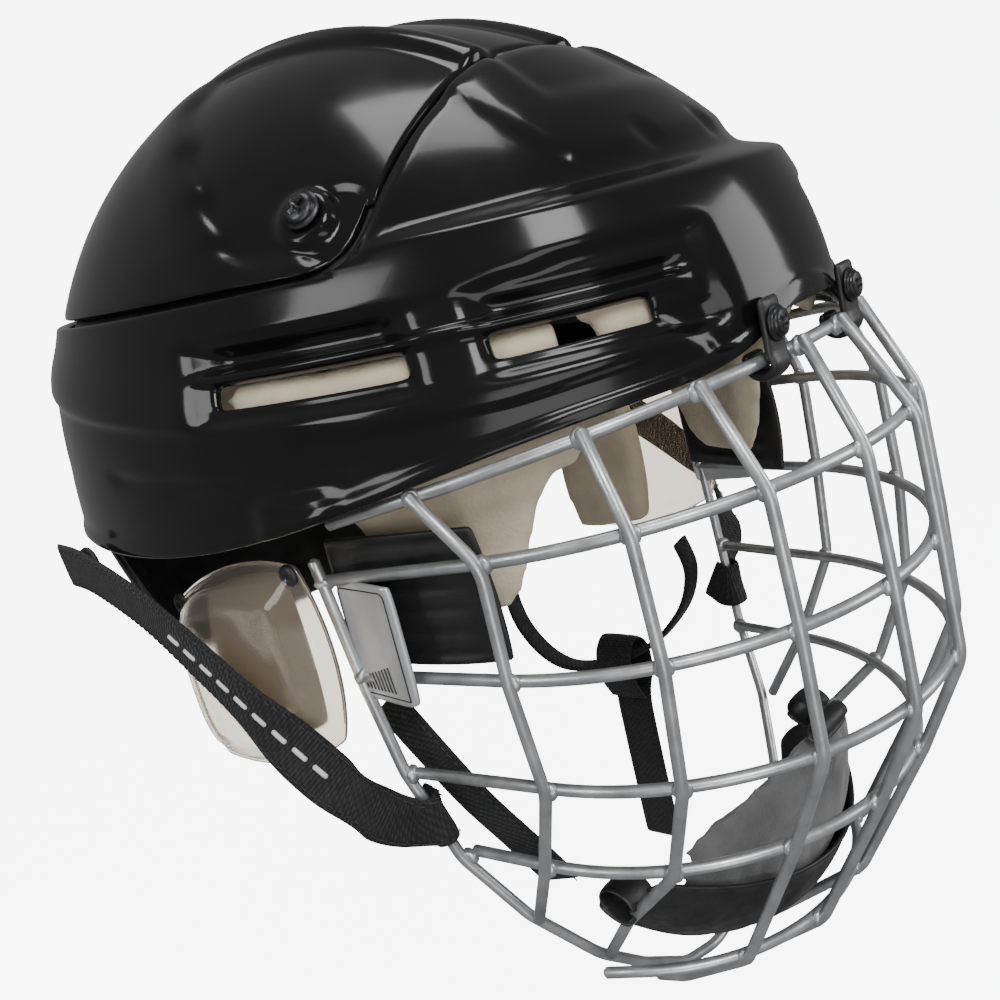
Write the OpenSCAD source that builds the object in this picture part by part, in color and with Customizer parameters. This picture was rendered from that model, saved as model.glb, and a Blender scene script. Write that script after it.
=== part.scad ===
/* [Shell form] */
// Half the helmet's outside width at its widest level
form_w = 109; // [100:0.5:116]
// Half the helmet's outside length at the same level
form_l = 147; // [132:0.5:152]
// Height of the dome above its widest level
form_h = 140; // [128:0.5:148]
// Height of the widest level above the origin
form_z = 31; // [24:0.5:40]
// How far the form's middle lies behind the origin
form_y = -3; // [-8:0.5:6]
// How far back the dome leans for each unit of height
form_lean = 0.1; // [0:0.01:0.14]
// Wall thickness of both shells
shell_t = 3; // [2:0.1:4]
// Height of the shell's lower edge along the sides
edge_low = 38; // [30:0.5:46]
// How much higher the lower edge is at the middle of the brow
edge_rise = 22.5; // [18:0.5:28]
// How much further the edge rises in the notch between the clips
edge_notch = 12.5; // [4:0.5:14]
// How far the brow ledge stands out of the dome
brow_out = 10; // [4:0.5:12]
// How far the brow's lower edge turns in
brow_in = 6; // [2:0.5:8]
// Height of the brow ledge's top
brow_z = 107; // [100:0.5:112]

/* [Seam between the two shells] */
// Height of the seam where it runs back along each side
seam_z = 104.5; // [98:0.5:110]
// Distance of the seam's corner ahead of the middle, before the dome's lean
seam_y = 70.5; // [60:0.5:76]
// Slope of the seam's front run, forward of upright, before the dome's lean
seam_lean = 12; // [0:0.5:20]
// Radius of the seam's rounded corner
seam_r = 14; // [8:0.5:20]
// Clearance between the two shells along the seam
seam_gap = 0.8; // [0.4:0.1:1.2]
// Angle round from the front at which each side wing ends
wing_end = 150; // [145:1:155]

/* [Vents] */
// Lower and upper edge of the open slots
vent_low = [77.5, 83.5];
// Lower and upper edge of the blind grooves above them
vent_high = [87, 92];

/* [Cage] */
// Diameter of the cage wire
wire_d = 3.4; // [3:0.1:4.5]
// How deep each weld sinks one wire into the next
weld = 0.5; // [0.2:0.1:0.8]
// Height of the six bars, brow bar first
bar_z = [60.6, 35.2, -0.5, -34, -63.6, -107];
// Distance of each bar's middle ahead of the origin
bar_front = [137.3, 152, 153.6, 154.5, 140, 115];
// Radius each bar is bent to across the front
bar_r = [93, 84, 83.5, 79.5, 74, 64];
// Slope of each bar as it runs back, in degrees, falling when negative
bar_tilt = [-10, -4, 0, 1.5, 2.5, 4];
// Half the angle of each bar's bent front
bar_sweep = [74, 82, 82, 82, 84, 60];
// Length of each bar's straight side
bar_leg = [22, 46, 46, 42, 25, 12];
// How far each upright stands off the middle at the brow bar
post_x_top = [10.5, 42.6, 66, 88];
// The same between the second and fourth bars
post_x_mid = [15, 43, 67, 82];
// The same at the fifth bar
post_x_low = [14.5, 41, 62.4, 74];

/* [Chin cup] */
// Half the cup's width
cup_w = 56; // [50:0.5:60]
// Depth of the cup from the chin's middle down to its lowest point
cup_h = 60; // [46:0.5:62]
// Wall of the cup's outer shell
cup_t = 2.2; // [1.5:0.1:3]
// Thickness of the cup's soft lining
cup_pad = 7; // [4:0.5:10]

/* [Soft parts] */
// Clearance between the cup's shell and its lining
cup_gap = 0.8; // [0.3:0.1:1.5]
// Thickness of the foam pads
foam_t = 11; // [8:0.5:14]
// Clearance between the foam and the shell
foam_gap = 0.4; // [0.3:0.1:1]
// Width of the webbing
web_w = 15; // [12:0.5:20]
// Thickness of the webbing
web_t = 1.8; // [1.4:0.1:2.4]

/* [Hidden] */
$fn = 48;
wire_r = wire_d / 2;
rise_turn = 71;
notch_turn = 13.5;
hinge_y = -134.9;
hinge_z = 60.2;
ear_y = -6;
ear_z = 3.5;
ear_x = 96;
ear_half_w = 35;
ear_half_h = 30.5;
ear_slant = 6;
temple_from = 54;
temple_to = 76;
shell_black = [0.03, 0.03, 0.035];
foam_tan = [0.78, 0.7, 0.56];
trim_black = [0.06, 0.06, 0.06];
wire_grey = [0.62, 0.63, 0.64];

/* Vectors */
function unit(v) = v / norm(v);
function mix(a, b, f) = a + (b - a) * f;
function ease(f) = let(g = min(1, max(0, f))) g * g * (3 - 2 * g);
function mirrored(path) = [for (p = path) [-p[0], p[1], p[2]]];

/* Helmet form: an egg with a ledge over the brow */
// Share of the full ledge at this angle round from the front
function brow_share(t) = 1 - 0.75 * ease((abs(t) - 28) / 34);
// How far the skin stands out of the plain egg
function relief(t, z) =
  z > brow_z ? mix(brow_out, 0, ease((z - brow_z) / 4)) * brow_share(t)
  : mix(-brow_in, brow_out, max(0, (z - 60) / (brow_z - 60))) * brow_share(t);
// Point d outside the skin, at an angle from the front and at the skin's height z
function skin(t, z, d) =
  let(
    s = (z - form_z) / form_h,
    c = sqrt(max(0, 1 - s * s)),
    k = d + relief(t, z),
    rise = (form_h + d) * s
  )
  [
    -sin(t) * (form_w + k) * c,
    form_y - cos(t) * (form_l + k) * c + form_lean * rise,
    form_z + rise
  ];
// Height of the shell's lower edge at an angle from the front
function edge_z(t) = edge_low + edge_rise * exp(-pow(t / rise_turn, 4)) + edge_notch * exp(-pow(t / notch_turn, 2));
// Elevation on the dome, in degrees, of the seam at an angle from the front
seam_low = asin((seam_z - form_z) / form_h);
function top_seam(t) =
  let(
    k = tan(seam_lean),
    a = form_l * cos(t),
    b = k * form_h,
    m = (form_y + seam_y + k * (form_z - seam_z)) / norm([a, b])
  )
  abs(t) > 85 || m > 1 ? -60 : acos(m) - atan2(b, a);
function seam_up(t) =
  let(h = top_seam(t) - seam_low)
  seam_low + (h + sqrt(h * h + 20)) / 2 - 0.5;

/* A closed skin between two faces, with the cells named by gap left out */
module patch(nu, nv, face, back, gap = function(i, j) false) {
  w = nv + 1;
  n = (nu + 1) * w;
  solid = function(i, j) i >= 0 && i < nu && j >= 0 && j < nv && !gap(i, j);
  cells = [for (i = [0:nu - 1], j = [0:nv - 1]) if (solid(i, j)) [i, j]];
  points = concat(
    [for (i = [0:nu], j = [0:nv]) face(i, j)],
    [for (i = [0:nu], j = [0:nv]) back(i, j)]
  );
  quads = [
    for (c = cells)
      let(
        i = c[0], j = c[1],
        a = i * w + j, b = a + w, e = b + 1, f = a + 1
      )
      each [
        [a, b, e], [a, e, f],
        [n + a, n + e, n + b], [n + a, n + f, n + e],
        if (!solid(i, j - 1)) each [[a, n + b, b], [a, n + a, n + b]],
        if (!solid(i + 1, j)) each [[b, n + e, e], [b, n + b, n + e]],
        if (!solid(i, j + 1)) each [[e, n + f, f], [e, n + e, n + f]],
        if (!solid(i - 1, j)) each [[f, n + a, a], [f, n + f, n + a]]
      ]
  ];
  polyhedron(points = points, faces = quads, convexity = 8);
}

/* A flat strip of webbing along a path, its width lying along a given direction */
module strip(path, across, w, t) {
  m = len(path) - 1;
  along = [for (i = [0:m]) unit(path[min(m, i + 1)] - path[max(0, i - 1)])];
  side = [for (i = [0:m]) unit(across(i / m) - along[i] * (along[i] * across(i / m)))];
  up = [for (i = [0:m]) cross(along[i], side[i])];
  patch(
    m, 1,
    function(i, j) path[i] + side[i] * w * (j - 0.5) - up[i] * t / 2,
    function(i, j) path[i] + side[i] * w * (j - 0.5) + up[i] * t / 2
  );
}

/* A smooth path through a few way points */
function spline(k, n) =
  let(m = len(k) - 1)
  [
    for (i = [0:m * n])
      let(
        s = min(m - 1, floor(i / n)), f = i / n - s,
        p = k[max(0, s - 1)], a = k[s], b = k[s + 1], q = k[min(m, s + 2)]
      )
      0.5 * (2 * a + (b - p) * f + (2 * p - 5 * a + 4 * b - q) * f * f + (3 * a - p - 3 * b + q) * f * f * f)
  ];

/* Straight wire through a list of points. Each run stops just short of its ends, inside the round knuckles */
knuckle_r = wire_r * 1.04;
run_back = wire_r * 0.26;
module bent_wire(path, knuckle = knuckle_r, back = run_back) {
  for (i = [0:len(path) - 2]) {
    run = path[i + 1] - path[i];
    turn = atan2(run[1], run[0]);
    lean = acos(run[2] / norm(run));
    from = i == 0 ? 0 : back;
    to = norm(run) - (i == len(path) - 2 ? 0 : back);
    translate(path[i])
      rotate([0, lean, turn])
        translate([0, 0, from])
          cylinder(r = wire_r, h = to - from);
  }
  for (i = [1:len(path) - 2])
    translate(path[i])
      sphere(r = knuckle);
}

/* Shells */
function front_row(t, j) =
  let(low = edge_z(t))
  [low, mix(low, vent_low[0], 0.5), vent_low[0], vent_low[1], vent_high[0], vent_high[1],
    seam_z - seam_gap / 2][j];
top_rows = 4;
side_rows = 6;
// Height of grid line j of the front shell at angle t
function front_z(t, j) =
  let(
    p = asin((seam_z - seam_gap / 2 - form_z) / form_h),
    q = max(p + 0.4, seam_up(t) - 0.5)
  )
  j <= side_rows ? front_row(t, j)
  : form_z + form_h * sin(mix(p, q, (j - side_rows) / top_rows));
// Angles of the front shell's grid lines, set by where the slots start and end
half_lines = concat(
  [for (k = [0:6]) k * 45 / 7],
  [45, 50],
  [for (k = [0:3]) 55 + k * 6],
  [for (k = [0:8]) 79 + k * (wing_end - 79) / 8]
);
wing_lines = concat([for (k = [len(half_lines) - 1:-1:1]) -half_lines[k]], half_lines);
function is_vent(t, j) =
  let(a = abs(t))
  j == 2 && ((a > 25 && a < 45) || (a > 55 && a < 79));
// The blind grooves above the slots are pressed in by this much
groove_depth = 1.5;
function groove(t, z) =
  let(a = abs(t))
  z > vent_high[0] - 0.1 && z < vent_high[1] + 0.1 && ((a > 25 && a < 43) || (a > 57 && a < 77)) ? groove_depth : 0;
module front_shell() {
  count = len(wing_lines) - 1;
  color(shell_black)
    patch(
      count, side_rows + top_rows,
      function(i, j) skin(wing_lines[i], front_z(wing_lines[i], j), -groove(wing_lines[i], front_z(wing_lines[i], j))),
      function(i, j) skin(wing_lines[i], front_z(wing_lines[i], j), -shell_t),
      function(i, j)
        let(t = (wing_lines[i] + wing_lines[i + 1]) / 2)
        is_vent(t, j) || (j >= side_rows && abs(t) > 61)
    );
}

/* The rear shell fans out round the line through the seam's two corners */
function fan_point(alpha, psi, d, cut) =
  let(
    w = form_w + d, l = form_l + d, h = form_h + d,
    y = -seam_y + seam_gap / 2 - form_y,
    z = seam_z + seam_gap / 2 - form_z,
    e = [cos(alpha), sin(alpha)],
    qa = e[0] * e[0] / (l * l) + e[1] * e[1] / (h * h),
    qb = y * e[0] / (l * l) + z * e[1] / (h * h),
    qc = y * y / (l * l) + z * z / (h * h),
    k = 1 - qc + qb * qb / qa,
    rho_mid = -qb / qa,
    rho_amp = sqrt(k / qa),
    x_amp = w * sqrt(k),
    lim = acos(min(1, max(-1, (cut - rho_mid) / rho_amp))),
    a = psi(lim),
    rho = rho_mid + rho_amp * cos(a)
  )
  [
    x_amp * sin(a),
    y + form_y + rho * e[0] + form_lean * (z + rho * e[1]),
    z + form_z + rho * e[1]
  ];
// Distance of the rounded corner from the fan's line
function corner_cut(alpha, r) =
  let(s = cos(alpha) + sin(alpha))
  alpha < 0 || alpha > 90 ? r : r * s - sqrt(max(0, r * r * s * s - r * r));
fan_core = 29;
fan_drop = -17.5;
// Angle of fan line j, from the seam across the top to the nape's edge
function fan_alpha(j) = j <= 8 ? (90 + seam_lean) * (1 - j / 8) : fan_drop * (j - 8) / 4;
function fan_psi(i, lim) =
  let(k = abs(i - 12), s = sign(12 - i))
  k <= 4 ? s * fan_core * k / 4 : s * mix(fan_core, lim, (k - 4) / 8);
module rear_shell() {
  color(shell_black)
    patch(
      24, 12,
      function(i, j)
        fan_point(fan_alpha(j), function(lim) fan_psi(i, lim), 0, corner_cut(fan_alpha(j), seam_r)),
      function(i, j)
        fan_point(fan_alpha(j), function(lim) fan_psi(i, lim), -shell_t, corner_cut(fan_alpha(j), seam_r)),
      function(i, j) j >= 8 && (i < 8 || i > 15)
    );
}

/* Foam pads, each a thick skin inside the form */
module foam(t0, t1, nu, nv, low, high, gap_in = foam_gap, tuck = 0) {
  angle = function(i) mix(t0, t1, i / nu);
  plump = function(i, j) 0.55 + 0.45 * sqrt(max(0, 1 - pow(2 * i / nu - 1, 6)) * max(0, 1 - pow(2 * j / nv - 1, 6)));
  level = function(i, j) mix(low(angle(i)), high(angle(i)), j / nv);
  inset = function(z) shell_t + gap_in + tuck * ease((62 - z) / 12);
  color(foam_tan)
    patch(
      nu, nv,
      function(i, j) skin(angle(i), level(i, j), -inset(level(i, j))),
      function(i, j) skin(angle(i), level(i, j), -inset(level(i, j)) - foam_t * plump(i, j))
    );
}
module front_liner() {
  foam(-34, 34, 12, 7, function(t) edge_z(t) - 1, function(t) 126, foam_gap + 3.2);
}
module temple_liner() {
  foam(
    36, 80, 10, 7,
    function(t) mix(8, edge_low + 4, ease((t - 50) / 12)),
    function(t) 85,
    foam_gap + 2,
    13
  );
}
module temple_liner_r() {
  temple_liner();
}
module temple_liner_l() {
  mirror([1, 0, 0])
    temple_liner();
}
module rear_liner() {
  foam(153, 207, 8, 4, function(t) edge_low + 8, function(t) 98, foam_gap + 2);
}
module crown_liner() {
  color(foam_tan)
    patch(
      12, 7,
      function(i, j)
        fan_point(mix(80, 12, j / 7), function(lim) (1 - i / 6) * (lim - 22), -shell_t - foam_gap - 2, seam_r),
      function(i, j)
        fan_point(mix(80, 12, j / 7), function(lim) (1 - i / 6) * (lim - 22), -shell_t - foam_gap - 2 - foam_t, seam_r)
    );
}

/* Screws */
// A cross-recessed screw whose head faces +Z, with its washer head's underside at the origin
module cross_screw(head_r, head_h, shank_r, shank_l) {
  color(trim_black)
    difference() {
      union() {
        cylinder(r = head_r, h = head_h);
        translate([0, 0, -shank_l])
          cylinder(r = shank_r, h = shank_l + 0.1);
      }
      for (a = [0, 90])
        rotate([0, 0, a])
          translate([-head_r * 0.55, -0.5, head_h - 1.2])
            cube([head_r * 1.1, 1, 2]);
    }
}
screw_at = skin(62.6, 118.6, 0.2);
// The direction in which the form faces at a point on it
function facing(p) =
  unit([p[0] / pow(form_w, 2), (p[1] - form_y - form_lean * (p[2] - form_z)) / pow(form_l, 2), (p[2] - form_z) / pow(form_h, 2)]);
module size_screw() {
  way = facing(screw_at);
  translate(screw_at)
    rotate([0, acos(way[2]), atan2(way[1], way[0])])
      cross_screw(5, 2.4, 2.4, 1.5);
}
module size_screws() {
  size_screw();
  mirror([1, 0, 0])
    size_screw();
}

/* Clips that hang the brow bar from the shell */
clip_x = 21;
clip_w = 9;
clip_bore = 3;
clip_face = -139;
module wire_clip() {
  color(trim_black)
    difference() {
      union() {
        translate([-clip_x - clip_w / 2, clip_face, hinge_z - 1])
          cube([clip_w, 3, 16]);
        translate([-clip_x - clip_w / 2, hinge_y, hinge_z])
          rotate([0, 90, 0])
            cylinder(r = clip_bore + 1.8, h = clip_w);
      }
      translate([-clip_x - clip_w, clip_face + 3, hinge_z + 2])
        cube([2 * clip_w, 12, 12]);
      translate([-clip_x - clip_w, hinge_y, hinge_z])
        rotate([0, 90, 0])
          cylinder(r = clip_bore, h = 2 * clip_w);
      translate([-clip_x, clip_face - 1, hinge_z + 8.5])
        rotate([-90, 0, 0])
          cylinder(r = 2.3, h = 8);
    }
}
module wire_clip_r() {
  wire_clip();
}
module wire_clip_l() {
  mirror([1, 0, 0])
    wire_clip();
}
module wire_clip_screws() {
  for (s = [-1, 1])
    translate([s * clip_x, clip_face, hinge_z + 8.5])
      rotate([90, 0, 0])
        cross_screw(4, 2.2, 2, 3);
}

/* Side pieces */
module temple_piece() {
  color(trim_black)
    patch(
      4, 6,
      function(i, j) skin(mix(temple_from, temple_to, i / 4), mix(-3, 39, j / 6), mix(-13, -17.5, i / 4)),
      function(i, j) skin(mix(temple_from, temple_to, i / 4), mix(-3, 39, j / 6), mix(-15.5, -20, i / 4))
    );
}
module temple_piece_r() {
  temple_piece();
}
module temple_piece_l() {
  mirror([1, 0, 0])
    temple_piece();
}
// Rounds a square grid into a soft-cornered outline
function round_u(u, v) = u * sqrt(1 - v * v * 0.32);
function ear_point(u, v, x, bulge) =
  [
    -x - bulge * (1 - pow(u, 4)) * (1 - pow(v, 4)),
    ear_y + ear_half_w * round_u(u, v),
    ear_z + ear_half_h * round_u(v, u) - ear_slant * u
  ];
module ear_guard() {
  color([0.85, 0.85, 0.82, 0.35])
    patch(
      10, 10,
      function(i, j) ear_point(i / 5 - 1, j / 5 - 1, ear_x + 2, 8),
      function(i, j) ear_point(i / 5 - 1, j / 5 - 1, ear_x, 8)
    );
}
module ear_guard_r() {
  ear_guard();
}
module ear_guard_l() {
  mirror([1, 0, 0])
    ear_guard();
}
// The pad sits behind the rear half of the guard
function ear_pad_point(i, j, x, bulge) = ear_point(0.36 + (i / 4 - 1) * 0.54, (j / 4 - 1) * 0.86, x, bulge);
module ear_pad() {
  color(foam_tan)
    patch(
      8, 8,
      function(i, j) ear_pad_point(i, j, ear_x - 4.5, 3),
      function(i, j) ear_pad_point(i, j, ear_x - 13, -3)
    );
}
module ear_pad_r() {
  ear_pad();
}
module ear_pad_l() {
  mirror([1, 0, 0])
    ear_pad();
}

/* Nape piece wraps the back of the head below the shells */
module nape_piece() {
  low = function(t) mix(-32, -12, ease((abs(t - 180) - 20) / 40));
  color(trim_black)
    patch(
      18, 5,
      function(i, j) skin(mix(114, 246, i / 18), mix(low(mix(114, 246, i / 18)), edge_low - 1, j / 5), -2.5 - 8 * (1 - j / 5)),
      function(i, j) skin(mix(114, 246, i / 18), mix(low(mix(114, 246, i / 18)), edge_low - 1, j / 5), -5.5 - 8 * (1 - j / 5))
    );
}
snap_at = [-99.5, 63, 33.5];
module strap_snap() {
  color(trim_black)
    translate(snap_at)
      rotate([0, -90, 0])
        cylinder(r = 5, h = 2.4);
}
module strap_snaps() {
  strap_snap();
  mirror([1, 0, 0])
    strap_snap();
}
rivet_at = [[-32.6, 32], [20.9, 21.5]];
module ear_guard_rivets() {
  color(trim_black)
    for (s = [-1, 1], p = rivet_at)
      translate([s * (ear_x + 2.5), p[0], p[1]])
        rotate([0, s * 90, 0])
          cylinder(r = 3.2, h = 1.6);
}

/* Cage */
// Point on bar k at arc angle a from its middle, before its legs start
function bar_arc(k, a) =
  [bar_r[k] * sin(a), -bar_front[k] + bar_r[k] * (1 - cos(a)), bar_z[k]];
function bar_lean(k, p) =
  [p[0], p[1], p[2] + (p[1] + bar_front[k]) * tan(bar_tilt[k])];
// Point on bar k whose distance from the middle is x
function bar_at(k, x) = bar_lean(k, bar_arc(k, asin(min(sin(bar_sweep[k]), x / bar_r[k]))));
module bar(k) {
  color(wire_grey)
    translate([0, -bar_front[k], bar_z[k]])
      rotate([bar_tilt[k], 0, 0])
        translate([0, bar_r[k], 0])
          union() {
            rotate([0, 0, -90 - bar_sweep[k]])
              rotate_extrude(angle = 2 * bar_sweep[k])
                translate([bar_r[k], 0])
                  circle(r = wire_r);
            for (s = [-1, 1])
              rotate([0, 0, s * bar_sweep[k]])
                translate([0, -bar_r[k], 0]) {
                  sphere(r = wire_r * 1.02);
                  rotate([0, s * 90, 0])
                    cylinder(r = wire_r, h = bar_leg[k]);
                }
          }
}
module bar_1() {
  bar(0);
}
module bar_2() {
  bar(1);
}
module bar_3() {
  bar(2);
}
module bar_4() {
  bar(3);
}
module bar_5() {
  bar(4);
}
module bar_6() {
  bar(5);
}

// Where upright n crosses bar k: just outside the bar
function post_x(n, k) = k == 0 ? post_x_top[n] : k < 4 ? post_x_mid[n] : k == 4 ? post_x_low[n] : post_x_low[n] * 0.9;
function post_at(n, k) =
  let(
    p = bar_at(k, post_x(n, k)),
    out = unit([p[0], p[1] + bar_front[k] - bar_r[k], 0])
  )
  p + out * (wire_d - weld);
// The two inner uprights on each side run under the chin; the outer two end on the rim
function post_path(n) =
  let(
    top = post_at(n, 0) + [0, 0, n == 3 ? 1 : 2],
    body = [for (k = [1:4]) post_at(n, k)]
  )
  n == 0 ? concat([top], body, [post_at(0, 5), [13, -84, -130], [13, -70, -136.5]])
  : n == 1 ? concat([top], body, [post_at(1, 5), [36, -80, -121.5], [36, -70, -124]])
  : n == 2 ? concat([top], body, [[57, -82, -87], [55, -70, -103]])
  : concat([top], body, [[70.5, -61, -83]]);
module post_r(n) {
  color(wire_grey)
    bent_wire(mirrored(post_path(n)));
}
module post_l(n) {
  color(wire_grey)
    bent_wire(post_path(n));
}
module post_1() {
  post_r(3);
}
module post_2() {
  post_r(2);
}
module post_3() {
  post_r(1);
}
module post_4() {
  post_r(0);
}
module post_5() {
  post_l(0);
}
module post_6() {
  post_l(1);
}
module post_7() {
  post_l(2);
}
module post_8() {
  post_l(3);
}

rim_half = [
  [91, -34, 33], [89, -38, -4], [86.5, -41, -30], [80, -47, -60], [70, -57, -83],
  [55, -66, -104], [38, -67, -119], [18, -67, -133], [0, -67, -138]
];
module rim_wire() {
  back = [for (i = [len(rim_half) - 2:-1:0]) rim_half[i]];
  color(wire_grey)
    bent_wire(concat(mirrored(rim_half), back), wire_r * 1.02, 0);
}
module size_plate() {
  color(wire_grey)
    translate([-88.6, -47.5, 10])
      rotate([0, 0, -7])
        rotate([0, -90, 0])
          linear_extrude(1.4)
            square([34, 24], center = true);
}
module size_plate_r() {
  size_plate();
}
module size_plate_l() {
  mirror([1, 0, 0])
    size_plate();
}

/* Chin cup */
// Angle of the soft lining's upper lip, and of the outer shell's, below level at u from side to side
function lip_angle(u) = -15 + 33 * u * u;
function shell_angle(u) = 28 + 8 * u * u;
cup_back = 82;
// Point on the cup at an angle below level, d inside its outer face
function cup_point(u, a, d) =
  let(side = 1 - 0.42 * u * u)
  [u * (cup_w - d), -77 + 10 * u * u - (47 - d) * cos(a) * side, -62 + 8 * u * u - (cup_h - d) * sin(a) * side];
module chin_cup_shell() {
  color(trim_black)
    patch(
      12, 8,
      function(i, j) cup_point(i / 6 - 1, mix(shell_angle(i / 6 - 1), cup_back, j / 8), 0),
      function(i, j) cup_point(i / 6 - 1, mix(shell_angle(i / 6 - 1), cup_back, j / 8), cup_t)
    );
}
module chin_cup_lining() {
  across = function(i) (i / 6 - 1) * 0.9;
  angle = function(i, j) mix(lip_angle(across(i)), cup_back - 3, j / 8);
  color([0.3, 0.3, 0.3])
    patch(
      12, 8,
      function(i, j) cup_point(across(i), angle(i, j), cup_t + cup_gap),
      function(i, j) cup_point(across(i), angle(i, j), cup_t + cup_gap + cup_pad)
    );
}
// Middle and size of the lip clip and of the two clips that grip the cage
lip_clip = [[0, -121.5, -50], [16, 7, 7]];
side_clip = [[57, -83, -79], [12, 14, 11]];
module chin_cup_clips() {
  color(trim_black)
    for (p = [lip_clip, side_clip, [[-side_clip[0][0], side_clip[0][1], side_clip[0][2]], side_clip[1]]])
      translate(p[0])
        rotate([25, 0, 0])
          cube(p[1], center = true);
}

/* Webbing */
strap_way = [
  [-103.6, 71, 34], [-106.8, 52, 33], [-110.5, 23, 25], [-111.8, 0, 12], [-110.8, -22, -6],
  [-105, -34, -24], [-96, -37.5, -38.5], [-89.4, -42, -44.4], [-85.6, -47, -45.4],
  [-81.8, -47, -45.8], [-79.9, -44, -45.6], [-80.8, -38, -42.6]
];
// The width lies up the helmet's side, then along the rim wire where the strap wraps it
function strap_width(f) = mix([0, 0.45, 1], [-0.2, 0.19, 0.96], ease((f - 0.35) / 0.2));
module side_strap() {
  color(trim_black)
    strip(spline(strap_way, 3), function(f) strap_width(f), web_w, web_t);
}
module side_strap_r() {
  side_strap();
}
module side_strap_l() {
  mirror([1, 0, 0])
    side_strap();
}
loop_way = [
  [84, 61, -15], [86, 70, -40], [86, 67, -72], [86, 45, -89], [86, 6, -79], [85, -18, -60],
  [83, -28, -42], [81, -27, -28]
];
module ear_loop_l() {
  color(trim_black)
    strip(spline(loop_way, 4), function(f) [1, 0, 0], 9, 2.2);
}
hang_way = [
  [86.6, 16, -168], [86.6, 16, -120], [87.6, 16, -100], [92.6, 16, -90], [92.4, 16, -79],
  [86, 16, -73.5], [79.6, 16, -79], [79.4, 16, -90], [84.2, 16, -100]
];
module chin_strap_l() {
  color(trim_black)
    strip(spline(hang_way, 3), function(f) [0, 1, 0], web_w + 3, web_t);
}
chin_way = [[-78, -31, -14], [-77, -42, -28], [-74, -52, -44], [-68, -60, -60], [-61, -64, -75]];
module chin_strap_r() {
  color(trim_black)
    strip(spline(chin_way, 4), function(f) [0, 1, -0.4], web_w, web_t);
}

front_shell();
rear_shell();
front_liner();
temple_liner_r();
temple_liner_l();
crown_liner();
rear_liner();
size_screws();
wire_clip_r();
wire_clip_l();
wire_clip_screws();
temple_piece_r();
temple_piece_l();
ear_guard_r();
ear_guard_l();
ear_pad_r();
ear_pad_l();
nape_piece();
strap_snaps();
ear_guard_rivets();
bar_1();
bar_2();
bar_3();
bar_4();
bar_5();
bar_6();
post_1();
post_2();
post_3();
post_4();
post_5();
post_6();
post_7();
post_8();
rim_wire();
size_plate_r();
size_plate_l();
chin_cup_shell();
chin_cup_lining();
chin_cup_clips();
side_strap_r();
side_strap_l();
ear_loop_l();
chin_strap_l();
chin_strap_r();
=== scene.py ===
from math import acos, asin, atan2, cos, degrees, exp, hypot, pi, radians, sin, sqrt, tan

import bmesh
import bpy
from mathutils import Matrix, Vector, noise


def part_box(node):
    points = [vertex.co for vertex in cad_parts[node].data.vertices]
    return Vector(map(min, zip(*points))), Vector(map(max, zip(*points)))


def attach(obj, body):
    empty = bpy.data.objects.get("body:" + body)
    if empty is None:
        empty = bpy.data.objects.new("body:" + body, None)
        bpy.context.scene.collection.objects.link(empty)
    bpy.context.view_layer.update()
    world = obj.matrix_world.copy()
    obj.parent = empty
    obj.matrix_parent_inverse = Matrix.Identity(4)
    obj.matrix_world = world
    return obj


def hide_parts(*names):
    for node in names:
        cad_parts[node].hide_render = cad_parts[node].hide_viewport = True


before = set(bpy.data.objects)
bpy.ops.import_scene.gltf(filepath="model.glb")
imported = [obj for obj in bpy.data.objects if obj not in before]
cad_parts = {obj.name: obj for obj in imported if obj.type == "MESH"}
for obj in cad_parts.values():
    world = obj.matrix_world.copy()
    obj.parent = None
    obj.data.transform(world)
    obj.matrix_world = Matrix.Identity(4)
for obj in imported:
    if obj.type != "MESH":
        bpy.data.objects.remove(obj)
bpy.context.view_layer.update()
MM = 0.001

# ---------------- camera, lights and stage

CAMERA_AT = (-0.2751219, -0.2786845, 0.1147844)
CAMERA_RIGHT = (0.624707, -0.745935, -0.230916)
CAMERA_UP = (0.339456, -0.006889, 0.940597)
CAMERA_BACK = (-0.703215, -0.665983, 0.248908)
CAMERA_LENS = 43.2
FLOOR_Z = -0.42
FLOOR_NEAR, FLOOR_HALF_W, WALL_Y, WALL_BEND, WALL_TOP = -4.0, 5, 2.4, 1.2, 4.5
STAGE_TURN = 46.6  # degrees about the upright, to stand square behind the object in the camera's view
WORLD_STRENGTH = 0.25
STAGE_GLOW = 7.0


def make_camera():
    data = bpy.data.cameras.new("camera")
    data.lens = CAMERA_LENS
    data.sensor_width = 36
    data.clip_start = 0.02
    data.clip_end = 50
    cam = new_object("camera", data)
    turn = Matrix((CAMERA_RIGHT, CAMERA_UP, CAMERA_BACK)).transposed().to_4x4()
    cam.matrix_world = Matrix.Translation(CAMERA_AT) @ turn
    bpy.context.scene.camera = cam


def area_light(name, at, aim, size, power, colour=(1, 1, 1), tall=None):
    data = bpy.data.lights.new(name, "AREA")
    data.energy = power
    data.color = colour
    data.size = size
    if tall:
        data.shape = "RECTANGLE"
        data.size_y = tall
    obj = new_object(name, data)
    way = Vector(aim) - Vector(at)
    obj.matrix_world = Matrix.Translation(at) @ way.to_track_quat("-Z", "Y").to_matrix().to_4x4()


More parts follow.
